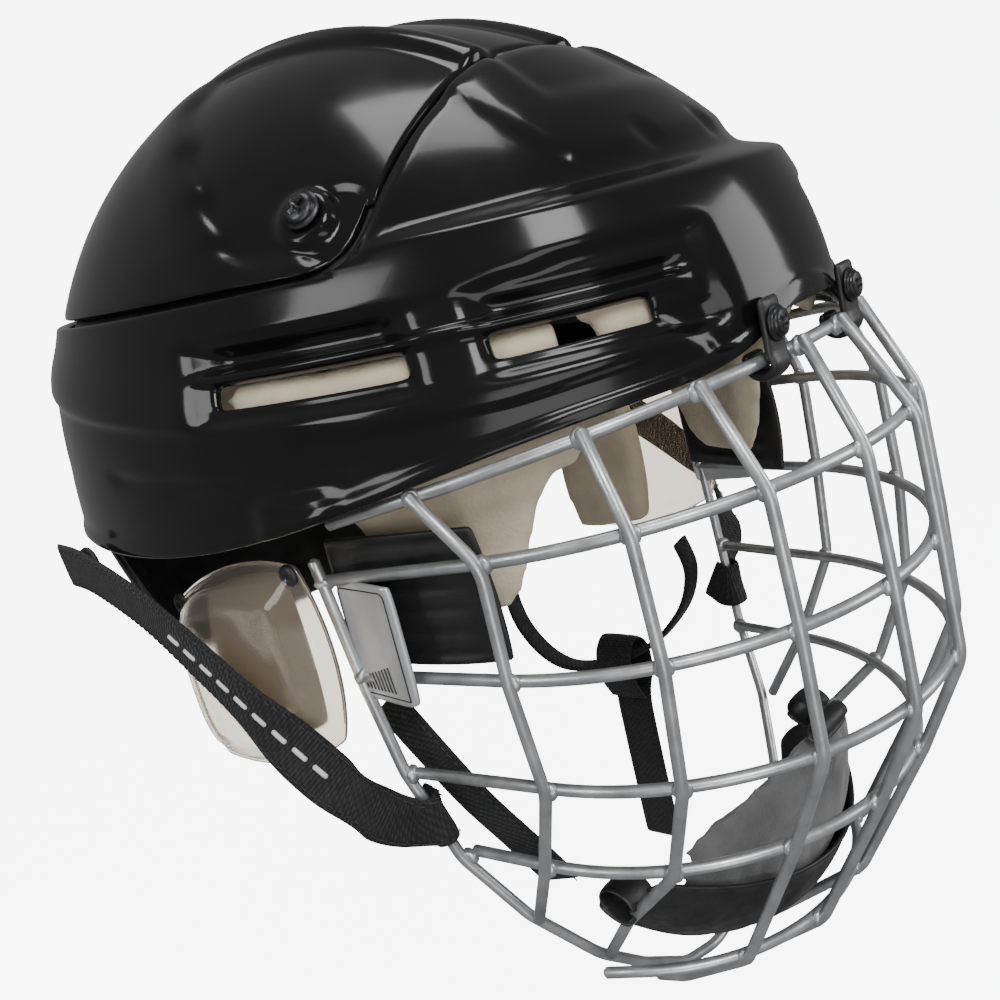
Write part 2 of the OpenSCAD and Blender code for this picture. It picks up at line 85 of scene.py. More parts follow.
def make_lights():
    area_light("key", (-1.0, -1.5, 1.5), (0, -0.05, 0.02), 0.8, 30)
    area_light("overhead", (0.1, 0.1, 1.7), (0, 0, 0.05), 0.7, 11)
    area_light("window", (-1.5, 0.25, 0.85), (-0.05, 0.0, 0.1), 0.45, 8, tall=0.8)
    area_light("fill", (1.1, -1.6, 0.5), (0, -0.05, 0), 1.0, 18)
    area_light("low_front", (-1.1, -1.2, -0.15), (0, -0.1, -0.05), 0.9, 8)
    world = bpy.data.worlds.new("studio")
    world.use_nodes = True
    back = world.node_tree.nodes["Background"]
    back.inputs["Color"].default_value = (1, 1, 1, 1)
    back.inputs["Strength"].default_value = WORLD_STRENGTH
    bpy.context.scene.world = world


def make_stage(material):
    """A floor that curves up into a wall behind the object, as the camera sees it."""
    rows = [(FLOOR_NEAR, 0.0), (WALL_Y, 0.0)]
    for a in range(6, 91, 6):
        rows.append((WALL_Y + WALL_BEND * sin(radians(a)), WALL_BEND * (1 - cos(radians(a)))))
    rows.append((WALL_Y + WALL_BEND, WALL_TOP))
    verts = [(x, y, FLOOR_Z + z) for y, z in rows for x in (-FLOOR_HALF_W, FLOOR_HALF_W)]
    faces = [(2 * i, 2 * i + 1, 2 * i + 3, 2 * i + 2) for i in range(len(rows) - 1)]
    obj = mesh_object("backdrop", [Vector(v) / MM for v in verts], faces)
    obj.data.transform(Matrix.Rotation(-radians(STAGE_TURN), 4, "Z"))
    obj.data.materials.append(material)
    smooth(obj)
    # Bright behind the object without lighting it or showing up in the gloss
    obj.visible_diffuse = False
    obj.visible_glossy = False


# ---------------- small tools


def new_object(name, data):
    obj = bpy.data.objects.new(name, data)
    bpy.context.scene.collection.objects.link(obj)
    return obj


def from_bmesh(name, work):
    mesh = bpy.data.meshes.new(name)
    work.to_mesh(mesh)
    work.free()
    return new_object(name, mesh)


def mesh_object(name, points, faces):
    """A mesh from points in millimetres."""
    mesh = bpy.data.meshes.new(name)
    mesh.from_pydata([Vector(p) * MM for p in points], [], faces)
    mesh.validate()
    return new_object(name, mesh)


def smooth(obj):
    for face in obj.data.polygons:
        face.use_smooth = True


def face_outwards(obj):
    work = bmesh.new()
    work.from_mesh(obj.data)
    bmesh.ops.remove_doubles(work, verts=work.verts, dist=1e-6)
    bmesh.ops.recalc_face_normals(work, faces=work.faces)
    work.to_mesh(obj.data)
    work.free()


def rounded(obj, levels=1):
    mod = obj.modifiers.new("rounding", "SUBSURF")
    mod.levels = levels
    mod.render_levels = levels


def place(obj, body, slot, material, *nodes):
    obj.data.materials.append(material)
    smooth(obj)
    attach(obj, body)
    if nodes:
        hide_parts(*nodes)


def mix(a, b, f):
    return a + (b - a) * f


def ease(f):
    f = min(1.0, max(0.0, f))
    return f * f * (3 - 2 * f)


def window(x, low, high, soft):
    """1 between low and high, falling to 0 over soft outside them."""
    return ease((x - low) / soft + 1) * ease((high - x) / soft + 1)


def mirrored(points):
    return [Vector((-p[0], p[1], p[2])) for p in points]


def spline(ways, n):
    """A smooth path through a few way points."""
    ways = [Vector(w) for w in ways]
    last = len(ways) - 1
    out = []
    for i in range(last * n + 1):
        s = min(last - 1, i // n)
        f = i / n - s
        p, a, b, q = ways[max(0, s - 1)], ways[s], ways[s + 1], ways[min(last, s + 2)]
        square, cube = 2 * p - 5 * a + 4 * b - q, 3 * a - p - 3 * b + q
        out.append(0.5 * (2 * a + (b - p) * f + square * f * f + cube * f ** 3))
    return out


def fillet(points, radius, steps=8):
    """A polyline whose corners are bent round a radius."""
    points = [Vector(p) for p in points]
    out = [points[0]]
    for a, b, c in zip(points, points[1:], points[2:]):
        u, v = (a - b).normalized(), (c - b).normalized()
        angle = u.angle(v)
        reach = min(radius / tan(angle / 2), (a - b).length * 0.45, (c - b).length * 0.45)
        p, q = b + u * reach, b + v * reach
        for k in range(steps + 1):
            f = k / steps
            out.append(p * (1 - f) ** 2 + b * 2 * f * (1 - f) + q * f * f)
    out.append(points[-1])
    return out


def directions(path):
    """The way a path runs at each of its points."""
    last = len(path) - 1
    return [(path[min(last, i + 1)] - path[max(0, i - 1)]).normalized() for i in range(last + 1)]


def tube(name, path, radius, around=14):
    """A round wire with domed ends along a path."""
    path = [Vector(p) for p in path]
    along = directions(path)
    side = along[0].orthogonal().normalized()
    rings = []
    for i, p in enumerate(path):
        side = (side - along[i] * side.dot(along[i])).normalized()
        rings.append((p, side, along[i].cross(side), radius))
    start, end = rings[0], rings[-1]
    for share in (0.71, 0.4):
        rings.append((end[0] + along[-1] * radius * (1 - share) * 0.8, *end[1:3], radius * share))
        rings.insert(0, (start[0] - along[0] * radius * (1 - share) * 0.8, *start[1:3], radius * share))
    points, faces = [], []
    for p, s, u, r in rings:
        for k in range(around):
            a = 2 * pi * k / around
            points.append(p + (s * cos(a) + u * sin(a)) * r)
    for i in range(len(rings) - 1):
        for k in range(around):
            a, b = i * around + k, i * around + (k + 1) % around
            faces.append((a, b, b + around, a + around))
    faces.append(tuple(range(around - 1, -1, -1)))
    top = (len(rings) - 1) * around
    faces.append(tuple(range(top, top + around)))
    return mesh_object(name, points, faces)


def solid_grid(name, nu, nv, face, back, keep=lambda i, j: True):
    """A closed skin between two faces given in millimetres, with some cells left out."""
    w = nv + 1
    n = (nu + 1) * w
    points = [face(i, j) for i in range(nu + 1) for j in range(w)]
    points += [back(i, j) for i in range(nu + 1) for j in range(w)]
    solid = [[keep(i, j) for j in range(nv)] for i in range(nu)]

    def there(i, j):
        return 0 <= i < nu and 0 <= j < nv and solid[i][j]

    faces = []
    for i in range(nu):
        for j in range(nv):
            if not solid[i][j]:
                continue
            a = i * w + j
            b, e, f = a + w, a + w + 1, a + 1
            faces.append((a, f, e, b))
            faces.append((n + a, n + b, n + e, n + f))
            if not there(i, j - 1):
                faces.append((a, b, n + b, n + a))
            if not there(i + 1, j):
                faces.append((b, e, n + e, n + b))
            if not there(i, j + 1):
                faces.append((e, f, n + f, n + e))
            if not there(i - 1, j):
                faces.append((f, a, n + a, n + f))
    obj = mesh_object(name, points, faces)
    work = bmesh.new()
    work.from_mesh(obj.data)
    bmesh.ops.delete(work, geom=[v for v in work.verts if not v.link_faces], context="VERTS")
    work.to_mesh(obj.data)
    work.free()
    face_outwards(obj)
    return obj


def slab(name, nu, nv, point, front, back, keep=lambda i, j: True):
    """A closed skin between one form's surfaces at two depths."""
    return solid_grid(
        name, nu, nv, lambda i, j: point(i, j, front), lambda i, j: point(i, j, back), keep
    )


def lathe(name, profile, at, axis, around=28):
    """A turned piece: profile is (radius, height) pairs, at its foot point, up its axis."""
    axis = Vector(axis).normalized()
    side = axis.orthogonal().normalized()
    up = axis.cross(side)
    at = Vector(at)
    points, faces = [], []
    for r, h in profile:
        for k in range(around):
            a = 2 * pi * k / around
            points.append(at + axis * h + (side * cos(a) + up * sin(a)) * r)
    rows = len(profile)
    for i in range(rows - 1):
        for k in range(around):
            a, b = i * around + k, i * around + (k + 1) % around
            faces.append((a, b, b + around, a + around))
    faces.append(tuple(range(around - 1, -1, -1)))
    faces.append(tuple(range((rows - 1) * around, rows * around)))
    obj = mesh_object(name, points, faces)
    face_outwards(obj)
    return obj


def joined(name, objs):
    """Several fresh mesh objects made into one."""
    work = bmesh.new()
    for o in objs:
        work.from_mesh(o.data)
        bpy.data.objects.remove(o)
    return from_bmesh(name, work)


def band(name, path, across, width, thick, cells=6):
    """A strap along a path: its width lies along across(f), with UVs in millimetres."""
    last = len(path) - 1
    along = directions(path)
    side, run = [], [0.0]
    for i in range(last + 1):
        want = Vector(across(i / last))
        side.append((want - along[i] * along[i].dot(want)).normalized())
        if i:
            run.append(run[-1] + (path[i] - path[i - 1]).length)
    up = [a.cross(s) for a, s in zip(along, side)]

    def edge(j):
        # The selvedge is a little thinner than the middle
        return 0.62 if j in (0, cells) else 1.0

    def point(i, j, s):
        return path[i] + side[i] * width * (j / cells - 0.5) + up[i] * s * thick / 2 * edge(j)

    obj = slab(name, last, cells, point, -1, 1)
    layer = obj.data.uv_layers.new(name="strap")
    for loop in obj.data.loops:
        p = obj.data.vertices[loop.vertex_index].co / MM
        i = min(range(last + 1), key=lambda k: (path[k] - p).length_squared)
        u = run[i] + (p - path[i]).dot(along[i])
        layer.data[loop.index].uv = (u, (p - path[i]).dot(side[i]) + width / 2)
    return obj, side, up


def stitches(name, path, side, up, offset, lift, pitch, length, radius):
    """A row of thread stitches lying along a strap, offset across it."""
    made = []
    last = len(path) - 1
    travelled, due = 0.0, pitch
    for i in range(1, last + 1):
        step = (path[i] - path[i - 1]).length
        while travelled + step > due:
            f = (due - travelled) / step
            s = side[i - 1].lerp(side[i], f)
            u = up[i - 1].lerp(up[i], f)
            p = path[i - 1].lerp(path[i], f) + s * offset + u * lift
            d = (path[i] - path[i - 1]).normalized() * length / 2
            arch = [p - d, p - d * 0.5 + u * 0.12, p + d * 0.5 + u * 0.12, p + d]
            made.append(tube(f"{name}_{len(made)}", arch, radius, 6))
            due += pitch
        travelled += step
    return joined(name, made)


CLOTH_FRAMES = 20


def puff(obj, cap, voxel=0.004, pressure=4.0):
    """Swells a pad with a short cloth simulation, then fixes the result in its mesh."""
    scene = bpy.context.scene
    mod = obj.modifiers.new("voxels", "REMESH")
    mod.mode = "VOXEL"
    mod.voxel_size = voxel
    bake(obj)
    rest = [v.co.copy() for v in obj.data.vertices]
    mod = obj.modifiers.new("swell", "CLOTH")
    mod.settings.use_pressure = True
    mod.settings.uniform_pressure_force = pressure
    mod.settings.effector_weights.gravity = 0
    mod.settings.quality = 4
    mod.point_cache.frame_start = 1
    mod.point_cache.frame_end = CLOTH_FRAMES
    for f in range(1, CLOTH_FRAMES + 1):
        scene.frame_set(f)
    bake(obj)
    scene.frame_set(1)
    for v, was in zip(obj.data.vertices, rest):
        move = v.co - was
        if move.length > cap * MM:
            v.co = was + move.normalized() * cap * MM
    mod = obj.modifiers.new("settle", "SMOOTH")
    mod.factor = 0.5
    mod.iterations = 3
    bake(obj)
    rounded(obj)


def bake(obj):
    """Applies an object's modifiers to its mesh."""
    depsgraph = bpy.context.evaluated_depsgraph_get()
    mesh = bpy.data.meshes.new_from_object(obj.evaluated_get(depsgraph), depsgraph=depsgraph)
    old = obj.data
    obj.modifiers.clear()
    obj.data = mesh
    bpy.data.meshes.remove(old)


# ---------------- materials


class Shader:
    """One procedural material, built round a Principled shader."""

    def __init__(self, name, colour, rough, metal=0.0, **settings):
        self.material = bpy.data.materials.new(name)
        self.material.use_nodes = True
        self.tree = self.material.node_tree
        self.main = self.tree.nodes["Principled BSDF"]
        settings.update(Base_Color=(*colour, 1), Roughness=rough, Metallic=metal)
        for socket, value in settings.items():
            self.main.inputs[socket.replace("_", " ")].default_value = value
        self.coords = self.node("TexCoord")
        self.normal = None

    def node(self, kind, **inputs):
        made = self.tree.nodes.new("ShaderNode" + kind)
        for socket, value in inputs.items():
            made.inputs[socket.replace("_", " ")].default_value = value
        return made

    def link(self, a, b):
        self.tree.links.new(a, b)

    def noise(self, scale, detail=4.0, stretch=(1, 1, 1)):
        place_at = self.node("Mapping", Scale=stretch)
        tex = self.node("TexNoise", Scale=scale, Detail=detail)
        self.link(self.coords.outputs["Object"], place_at.inputs["Vector"])
        self.link(place_at.outputs["Vector"], tex.inputs["Vector"])
        return tex.outputs["Fac"]

    def cells(self, scale):
        tex = self.node("TexVoronoi", Scale=scale)
        self.link(self.coords.outputs["Object"], tex.inputs["Vector"])
        return tex.outputs["Distance"]

    def wave(self, scale, direction, warp=0.0):
        tex = self.node("TexWave", Scale=scale, Distortion=warp)
        tex.bands_direction = direction
        self.link(self.coords.outputs["UV"], tex.inputs["Vector"])
        return tex.outputs["Fac"]

    def sum(self, a, b, kind="ADD"):
        both = self.node("Math")
        both.operation = kind
        self.link(a, both.inputs[0])
        self.link(b, both.inputs[1])
        return both.outputs[0]

    def rough(self, value, low, high):
        spread = self.node("MapRange", From_Min=0.3, From_Max=0.7, To_Min=low, To_Max=high)
        self.link(value, spread.inputs["Value"])
        self.link(spread.outputs["Result"], self.main.inputs["Roughness"])

    def tint(self, value, dark, light, start=0.35, end=0.65):
        ramp = self.node("ValToRGB")
        for stop, at, colour in zip(ramp.color_ramp.elements, (start, end), (dark, light)):
            stop.position = at
            stop.color = (*colour, 1)
        self.link(value, ramp.inputs["Fac"])
        self.link(ramp.outputs["Color"], self.main.inputs["Base Color"])

    def bump(self, value, strength, distance):
        step = self.node("Bump", Strength=strength, Distance=distance)
        self.link(value, step.inputs["Height"])
        if self.normal:
            self.link(self.normal, step.inputs["Normal"])
        self.normal = step.outputs["Normal"]
        self.link(self.normal, self.main.inputs["Normal"])


def surface(name, colour, rough, metal=0.0, tint=None, spread=None, bumps=(), **settings):
    """A mottled material: tint is a noise and its colours, spread a noise and its roughness.

    Each bump is a noise, or the scale of a cell pattern, with its strength and distance.
    """
    s = Shader(name, colour, rough, metal, **settings)
    if tint:
        s.tint(s.noise(*tint[0]), *tint[1:])
    s.rough(s.noise(*spread[0]), *spread[1:])
    for grain, strength, distance in bumps:
        height = s.noise(*grain) if isinstance(grain, tuple) else s.cells(grain)
        s.bump(height, strength, distance)
    return s.material


def webbing_material():
    s = Shader("webbing_black", (0.012, 0.012, 0.013), 0.75, Sheen_Weight=0.06)
    ribs = s.wave(0.3, "X")
    twill = s.wave(0.24, "DIAGONAL", warp=0.4)
    weave = s.sum(ribs, twill, "MULTIPLY")
    s.tint(weave, (0.004, 0.004, 0.005), (0.015, 0.015, 0.016), 0.1, 0.8)
    s.rough(s.noise(400, 3), 0.62, 0.85)
    s.bump(s.sum(ribs, twill), 0.55, 0.0005)
    return s.material


def thread_material(name, colour):
    return surface(
        name, colour, 0.7, spread=((900, 2), 0.6, 0.85), bumps=[((2500, 2), 0.3, 0.0002)]
    )


# ---------------- helmet form, as the CAD has it

FORM_W, FORM_L, FORM_H = 109.0, 147.0, 140.0
FORM_Y, FORM_Z, LEAN = -3.0, 31.0, 0.1
SHELL_T = 3.0
EDGE_LOW, EDGE_RISE, EDGE_NOTCH = 38.0, 22.5, 12.5
RISE_TURN, NOTCH_TURN = 71.0, 13.5
BROW_OUT, BROW_IN, BROW_Z = 10.0, 6.0, 107.0
SEAM_Z, SEAM_Y, SEAM_LEAN, SEAM_R, SEAM_GAP = 104.5, 70.5, 12.0, 14.0, 0.8
WING_END = 150.0
VENT_LOW, VENT_HIGH = (77.5, 83.5), (87.0, 92.0)
VENT_FRONT, VENT_REAR = (25.7, 45), (55, 79)
VENT_BASE, VENT_TOP = 70.0, 96.0
FAN_CORE, FAN_DROP = 29.0, -17.5
TOP_END = 61.0


def brow_share(t):
    return 1 - 0.75 * ease((abs(t) - 28) / 34)


def brow_relief(t, z):
    if z > BROW_Z:
        return mix(BROW_OUT, 0, ease((z - BROW_Z) / 4)) * brow_share(t)
    return mix(-BROW_IN, BROW_OUT, max(0, (z - 60) / (BROW_Z - 60))) * brow_share(t)


def skin(t, z, d):
    """Point d outside the helmet's form, at an angle from the front and a height."""
    s = (z - FORM_Z) / FORM_H
    c = sqrt(max(0, 1 - s * s))
    k = d + brow_relief(t, z)
    rise = (FORM_H + d) * s
    a = radians(t)
    y = FORM_Y - cos(a) * (FORM_L + k) * c + LEAN * rise
    return Vector((-sin(a) * (FORM_W + k) * c, y, FORM_Z + rise))


def edge_z(t):
    """Height of the shells' lower edge, raised in front and notched in the middle."""
    rise = EDGE_RISE * exp(-((t / RISE_TURN) ** 4))
    return EDGE_LOW + rise + EDGE_NOTCH * exp(-((t / NOTCH_TURN) ** 2))


SEAM_ELEV = degrees(asin((SEAM_Z - FORM_Z) / FORM_H))


def seam_up(t):
    """How far up the form the seam lies at an angle from the front, in degrees."""
    k = tan(radians(SEAM_LEAN))
    a, b = FORM_L * cos(radians(t)), k * FORM_H
    m = (FORM_Y + SEAM_Y + k * (FORM_Z - SEAM_Z)) / hypot(a, b)
    top = -60 if abs(t) > 85 or abs(m) > 1 else degrees(acos(m) - atan2(b, a))
    h = top - SEAM_ELEV
    return SEAM_ELEV + (h + sqrt(h * h + 20)) / 2 - 0.5


def outward(p):
    """The form's outward direction at a point."""
    y = p[1] - FORM_Y - LEAN * (p[2] - FORM_Z)
    return Vector(
        (p[0] / FORM_W ** 2, y / FORM_L ** 2, (p[2] - FORM_Z) / FORM_H ** 2)
    ).normalized()


def fan_point(alpha, psi, d):
    """Point on the rear shell's form: alpha turns round the line through the seam's corners."""
    w, l, h = FORM_W + d, FORM_L + d, FORM_H + d
    y = -SEAM_Y + SEAM_GAP / 2 - FORM_Y
    z = SEAM_Z + SEAM_GAP / 2 - FORM_Z
    e = (cos(radians(alpha)), sin(radians(alpha)))
    qa = e[0] ** 2 / l ** 2 + e[1] ** 2 / h ** 2
    qb = y * e[0] / l ** 2 + z * e[1] / h ** 2
    qc = y * y / l ** 2 + z * z / h ** 2
    k = 1 - qc + qb * qb / qa
    rho_mid, rho_amp, x_amp = -qb / qa, sqrt(k / qa), w * sqrt(k)
    s = e[0] + e[1]
    cut = SEAM_R if alpha < 0 or alpha > 90 else SEAM_R * s - sqrt(max(0, SEAM_R ** 2 * (s * s - 1)))
    lim = degrees(acos(min(1, max(-1, (cut - rho_mid) / rho_amp))))
    a = radians(psi(lim))
    rho = rho_mid + rho_amp * cos(a)
    zz = z + rho * e[1]
    return Vector((x_amp * sin(a), y + FORM_Y + rho * e[0] + LEAN * zz, FORM_Z + zz))


# ---------------- shells

SWEEP = [(171, 16), (167, 27), (158, 25), (144, 8), (129, -8), (117, -19), (107.5, -31), (100, -38)]


def sweep_y(z):
    """How far back the crown's swept crease lies at a height."""
    for (z0, y0), (z1, y1) in zip(SWEEP, SWEEP[1:]):
        if z > z1:
            return mix(y0, y1, ease((z0 - min(z, z0)) / (z0 - z1)))
    return SWEEP[-1][1]


def front_detail(t, z):
    """Millimetres that the front shell's moulded detail stands out of the plain form."""
    a = abs(t)
    top = 96.5 - 4 * ease((a - 25) / 30)
    recess = window(a, 18, 80, 3.5) * window(z, 74.5, top, 1.6)
    rib = window(a, 21, 80, 2) * window(z, 84.3, 86.2, 0.6)
    pillar = window(a, 47, 53, 1.6) * window(z, 74, 95, 2)
    out = -3.0 * recess + 2.0 * rib * recess + 2.2 * pillar * recess
    # The upper slots are blind
    blind = window(z, 88.0, 91.0, 0.7) * max(window(a, 21, 44, 1.5), window(a, 56, 78, 1.5))
    out -= 2.6 * blind
    # The crease runs down and forward below the slots
    crease_z = 66.8 + max(0, a - 60) * 0.236 + max(0, 45 - a) * 0.16
    above = z - crease_z
    out += 1.7 * ease((above + 1.2) / 2.4) * (1 - ease((above - 4) / 14)) * ease((a - 22) / 10)
    # A fine groove and a raised block on each side
    groove_z = 57.5 + (a - 75) * 0.13
    out -= 1.3 * window(a, 75, 101, 2.5) * window(z, groove_z - 0.6, groove_z + 0.6, 1.3)
    out += 2.0 * window(a, 68, 75.5, 1.2) * window(z, 39.5, 53, 1.4)
    # Sunken three-cornered facets beside the clips
    slope = 19.5 - (80.7 - z) * 0.17
    out -= 2.0 * window(z, 66, 79, 1.5) * window(a, slope - 0.5, slope + (z - 62) * 0.3, 2)
    # A lip along the lower edge
    out += 1.1 * (1 - ease((z - edge_z(t) - 2.5) / 2.0))
    # Dimples over the brow and the raised middle panel
    dimple = hypot((a - 9.3) * 2.3, z - 117.5)
    out -= 1.8 * (1 - ease((dimple - 1.0) / 4))
    panel = 25 + max(0, z - 112) * 0.35
    out += 1.5 * ease((panel - a) / 3) * ease((z - 113) / 5)
    # The seam's edge is rolled slightly
    if z > SEAM_Z:
        gap = seam_up(t) - degrees(asin(min(1, (z - FORM_Z) / FORM_H)))
        out -= 1.1 * (1 - ease((gap - 0.6) / 2.0))
        out -= 1.6 * window(a, 0, 17, 4) * ease((z - 128) / 8)
    return out


def rear_detail(p):
    """The same for the rear shell, from a point on it."""
    x, y, z = abs(p[0]), p[1], p[2]
    out = 0.0
    # The front side panel is sunk along the swept crease
    ahead = sweep_y(z) - y
    outer = ease((x - 22 - 0.10 * max(0, y + 40)) / 5)
    out -= 2.4 * ease((ahead + 1.0) / 7.0) * outer * ease((z - 103) / 12)
    out += 0.5 * (1 - ease(abs(ahead + 9) / 14)) * outer
    # A channel between two ridges along the crown
    out -= 2.2 * (1 - ease((x - 13) / 4)) * ease((z - 120) / 20)
    out += 1.0 * (1 - ease(abs(x - 20) / 5)) * ease((z - 120) / 20)
    # Boss and scoop round the size screw
    far = (Vector((x, y, z)) - Vector((75.5, -47, 118.6))).length
    out += 1.9 * (1 - ease((far - 6.5) / 3.0))
    scoop = (Vector((x, y, z)) - Vector((73.0, -55, 114.5))).length
    out -= 1.3 * (1 - ease((scoop - 9) / 5)) * ease((far - 7) / 3)
    # A shallow band round the back
    out -= 1.2 * window(z, 74, 92, 3) * ease((y - 60) / 20)
    return out


def rear_edge_roll(u, v):
    """Rolls the rear shell's edge in towards the seam."""
    edge = min(1 - abs(u), v / 8 * 1.6) if v < 8 else 1
    return -0.9 * (1 - ease(edge / 0.03))


def refined(stops, step):
    out = [stops[0]]
    for a, b in zip(stops, stops[1:]):
        n = max(1, round((b - a) / step))
        out += [a + (b - a) * (k + 1) / n for k in range(n)]
    return out


def make_front_shell(material):
    half = refined([0, 19.3, *VENT_FRONT, VENT_REAR[0], TOP_END, VENT_REAR[1], WING_END], 1.7)
    lines = [-t for t in half[:0:-1]] + half
    mids = [(a + b) / 2 for a, b in zip(lines, lines[1:])]
    low_rows = 15
    # Heights that the mesh has to meet, and the rows up to each
    sills = [(74.0, 2), (VENT_LOW[0], 3), (VENT_LOW[1], 4)]
    sills += [(VENT_HIGH[0], 3), (VENT_HIGH[1], 4), (VENT_TOP, 3)]
    heights = []
    last = VENT_BASE
    for z, n in sills:
        heights += [mix(last, z, k / n) for k in range(n)]
        last = z
    heights += [mix(VENT_TOP, SEAM_Z - SEAM_GAP / 2, k / 5) for k in range(6)]
    side_rows = low_rows + len(heights) - 1
    top_rows = 34

    def level(t, j):
        if j < low_rows:
            return mix(edge_z(t), VENT_BASE, j / low_rows)
        if j <= side_rows:
            return heights[j - low_rows]
        p = degrees(asin((SEAM_Z - SEAM_GAP / 2 - FORM_Z) / FORM_H))
        q = max(p + 0.4, seam_up(t) - 0.5)
        return FORM_Z + FORM_H * sin(radians(mix(p, q, ((j - side_rows) / top_rows) ** 1.35)))

    def point(i, j, d):
        t, z = lines[i], level(lines[i], j)
        p = skin(t, z, d)
        return p + outward(p) * front_detail(t, z)

    def keep(i, j):
        a = abs(mids[i])
        if j >= side_rows:
            return a <= TOP_END
        z = (level(mids[i], j) + level(mids[i], j + 1)) / 2
        slot = any(low < a < high for low, high in (VENT_FRONT, VENT_REAR))
        return not (slot and VENT_LOW[0] < z < VENT_LOW[1])

    size = len(lines) - 1, side_rows + top_rows
    obj = slab("front_shell_moulding", *size, point, 0, -SHELL_T, keep)
    rounded(obj)
    place(obj, "helmet", "shell", material, "front_shell")


def make_seam_flange(material):
    """Dark flanges of the front shell that stand behind its seams with the rear shell."""
    near, deep = -SHELL_T - 2.5, -SHELL_T - 3.2
    steps = 120

    def over(i, j, d):
        t = mix(-WING_END, WING_END, i / steps)
        up = max(SEAM_ELEV, seam_up(t)) + mix(-3, 5, j / 4)
        return skin(t, FORM_Z + FORM_H * sin(radians(up)), d)

    def behind(i, j, d):
        t = WING_END + mix(-4, 12, i / 8)
        return skin(t, mix(edge_z(t) + 1, SEAM_Z - 3, j / 8), d)

    top = slab("seam_flange_top", steps, 4, over, near, deep)
    right = slab("seam_flange_r", 8, 8, behind, near, deep)
    made = joined("front_shell_seam_flanges", [top, right, flipped(right, "seam_flange_l")])
    place(made, "helmet", "trim", material, "front_shell")


def make_rear_shell(material):
    across, down = 6, 8
    nu, nv = 24 * across, 8 * down + 4 * 4

    def u_of(i):
        return 1 - i / (12 * across)

    def v_of(j):
        return j / down if j <= 8 * down else 8 + (j - 8 * down) / 4

    def point(i, j, d):
        u, v = u_of(i), v_of(j)
        alpha = (90 + SEAM_LEAN) * (1 - v / 8) if v <= 8 else FAN_DROP * (v - 8) / 4

        def psi(lim):
            k = abs(u)
            s = 1 if u > 0 else -1
            return s * (FAN_CORE * 3 * k if k <= 1 / 3 else mix(FAN_CORE, lim, (k - 1 / 3) * 1.5))

        p = fan_point(alpha, psi, d)
        return p + outward(p) * (rear_detail(p) + rear_edge_roll(u, v))

    def keep(i, j):
        return j < 8 * down or 8 * across <= i < 16 * across

    obj = slab("rear_shell_moulding", nu, nv, point, 0, -SHELL_T, keep)
    rounded(obj)
    place(obj, "rear", "shell", material, "rear_shell")


# ---------------- foam

FOAM_T, FOAM_GAP = 11.0, 0.4
PAD_GAP = FOAM_GAP + 2


def crowned(u, v, power):
    """1 over the middle of a pad, falling to 0 at its edges; a higher power is squarer."""
    return sqrt(max(0, 1 - u ** power) * max(0, 1 - v ** power))


def foam_block(name, t0, t1, nu, nv, low, high, gap, tuck=0.0):
    """A pad inside the form, a little smaller than its CAD solid, with rounded edges."""

    def level(i, j):
        a = mix(t0, t1, i / nu)
        return mix(low(a), high(a), j / nv)

    def crown(i, j):
        return crowned(abs(2 * i / nu - 1), abs(2 * j / nv - 1), 6)

    def inset(z):
        return SHELL_T + gap + tuck * ease((62 - z) / 12)

    def outer(i, j):
        z = level(i, j)
        return skin(mix(t0, t1, i / nu), z, -inset(z) - 1.2 - 1.0 * (1 - crown(i, j)))

    def inner(i, j):
        z = level(i, j)
        return skin(mix(t0, t1, i / nu), z, -inset(z) + 1.2 - FOAM_T * (0.5 + 0.5 * crown(i, j)))

    return solid_grid(name, nu, nv, outer, inner)


def channel(obj, lines, depth, width):
    """Presses straight channels into the side of a pad that faces the head."""
    for v in obj.data.vertices:
        p = v.co / MM
        if v.normal.dot(outward(p)) > -0.2:
            continue
        for axis, at in lines:
            off = abs(p[axis] - at)
            v.co -= v.normal * depth * MM * (1 - ease(off / width))


def temple_low(t):
    """Lower edge of the temple pads, which hang down ahead of the ears."""
    return max(mix(45, 5, ease((t - 41) / 14)), mix(5, EDGE_LOW + 5, ease((t - 66) / 8)))


def make_foam(material):
    made = {
        "front_liner": foam_block(
            "front_pad", -34.5, 34.5, 30, 18, edge_z, lambda t: 125, FOAM_GAP + 3.2
        ),
        "temple_liner_r": foam_block(
            "temple_pad_r", 36, 80, 22, 26, temple_low, lambda t: 87, PAD_GAP, 16
        ),
        "rear_liner": foam_block(
            "rear_pad", 154, 206, 24, 14, lambda t: EDGE_LOW + 9, lambda t: 97, PAD_GAP
        ),
        "crown_liner": crown_pad(),
    }
    made["temple_liner_l"] = flipped(made["temple_liner_r"], "temple_pad_l")
    for node, pad in made.items():
        puff(pad, 0.9 if "temple" in node else 1.6, 0.003 if "temple" in node else 0.004)
        body = "rear" if node in ("rear_liner", "crown_liner") else "helmet"
        place(pad, body, "foam", material, node)
    channel(made["front_liner"], [(0, -28), (0, 0), (0, 28)], 2.2, 3.5)
    channel(made["rear_liner"], [(0, -18), (0, 18)], 2.2, 3.5)
    channel(made["crown_liner"], [(0, -20), (0, 20), (1, -5), (1, 40)], 2.2, 3.5)
    for side in ("r", "l"):
        channel(made[f"temple_liner_{side}"], [(2, 44)], 1.8, 3.0)


def crown_pad():
    nu, nv = 30, 24

    def point(i, j, d):
        crown = crowned(abs(2 * i / nu - 1), abs(2 * j / nv - 1), 6)
        gap = SHELL_T + FOAM_GAP + 2
        depth = -gap - 1.2 - (1 - crown) if d == 0 else -gap + 1.2 - FOAM_T * (0.5 + 0.5 * crown)
        return fan_point(mix(79, 13, j / nv), lambda lim: (1 - 2 * i / nu) * (lim - 23), depth)

    return slab("crown_pad", nu, nv, point, 0, 1)


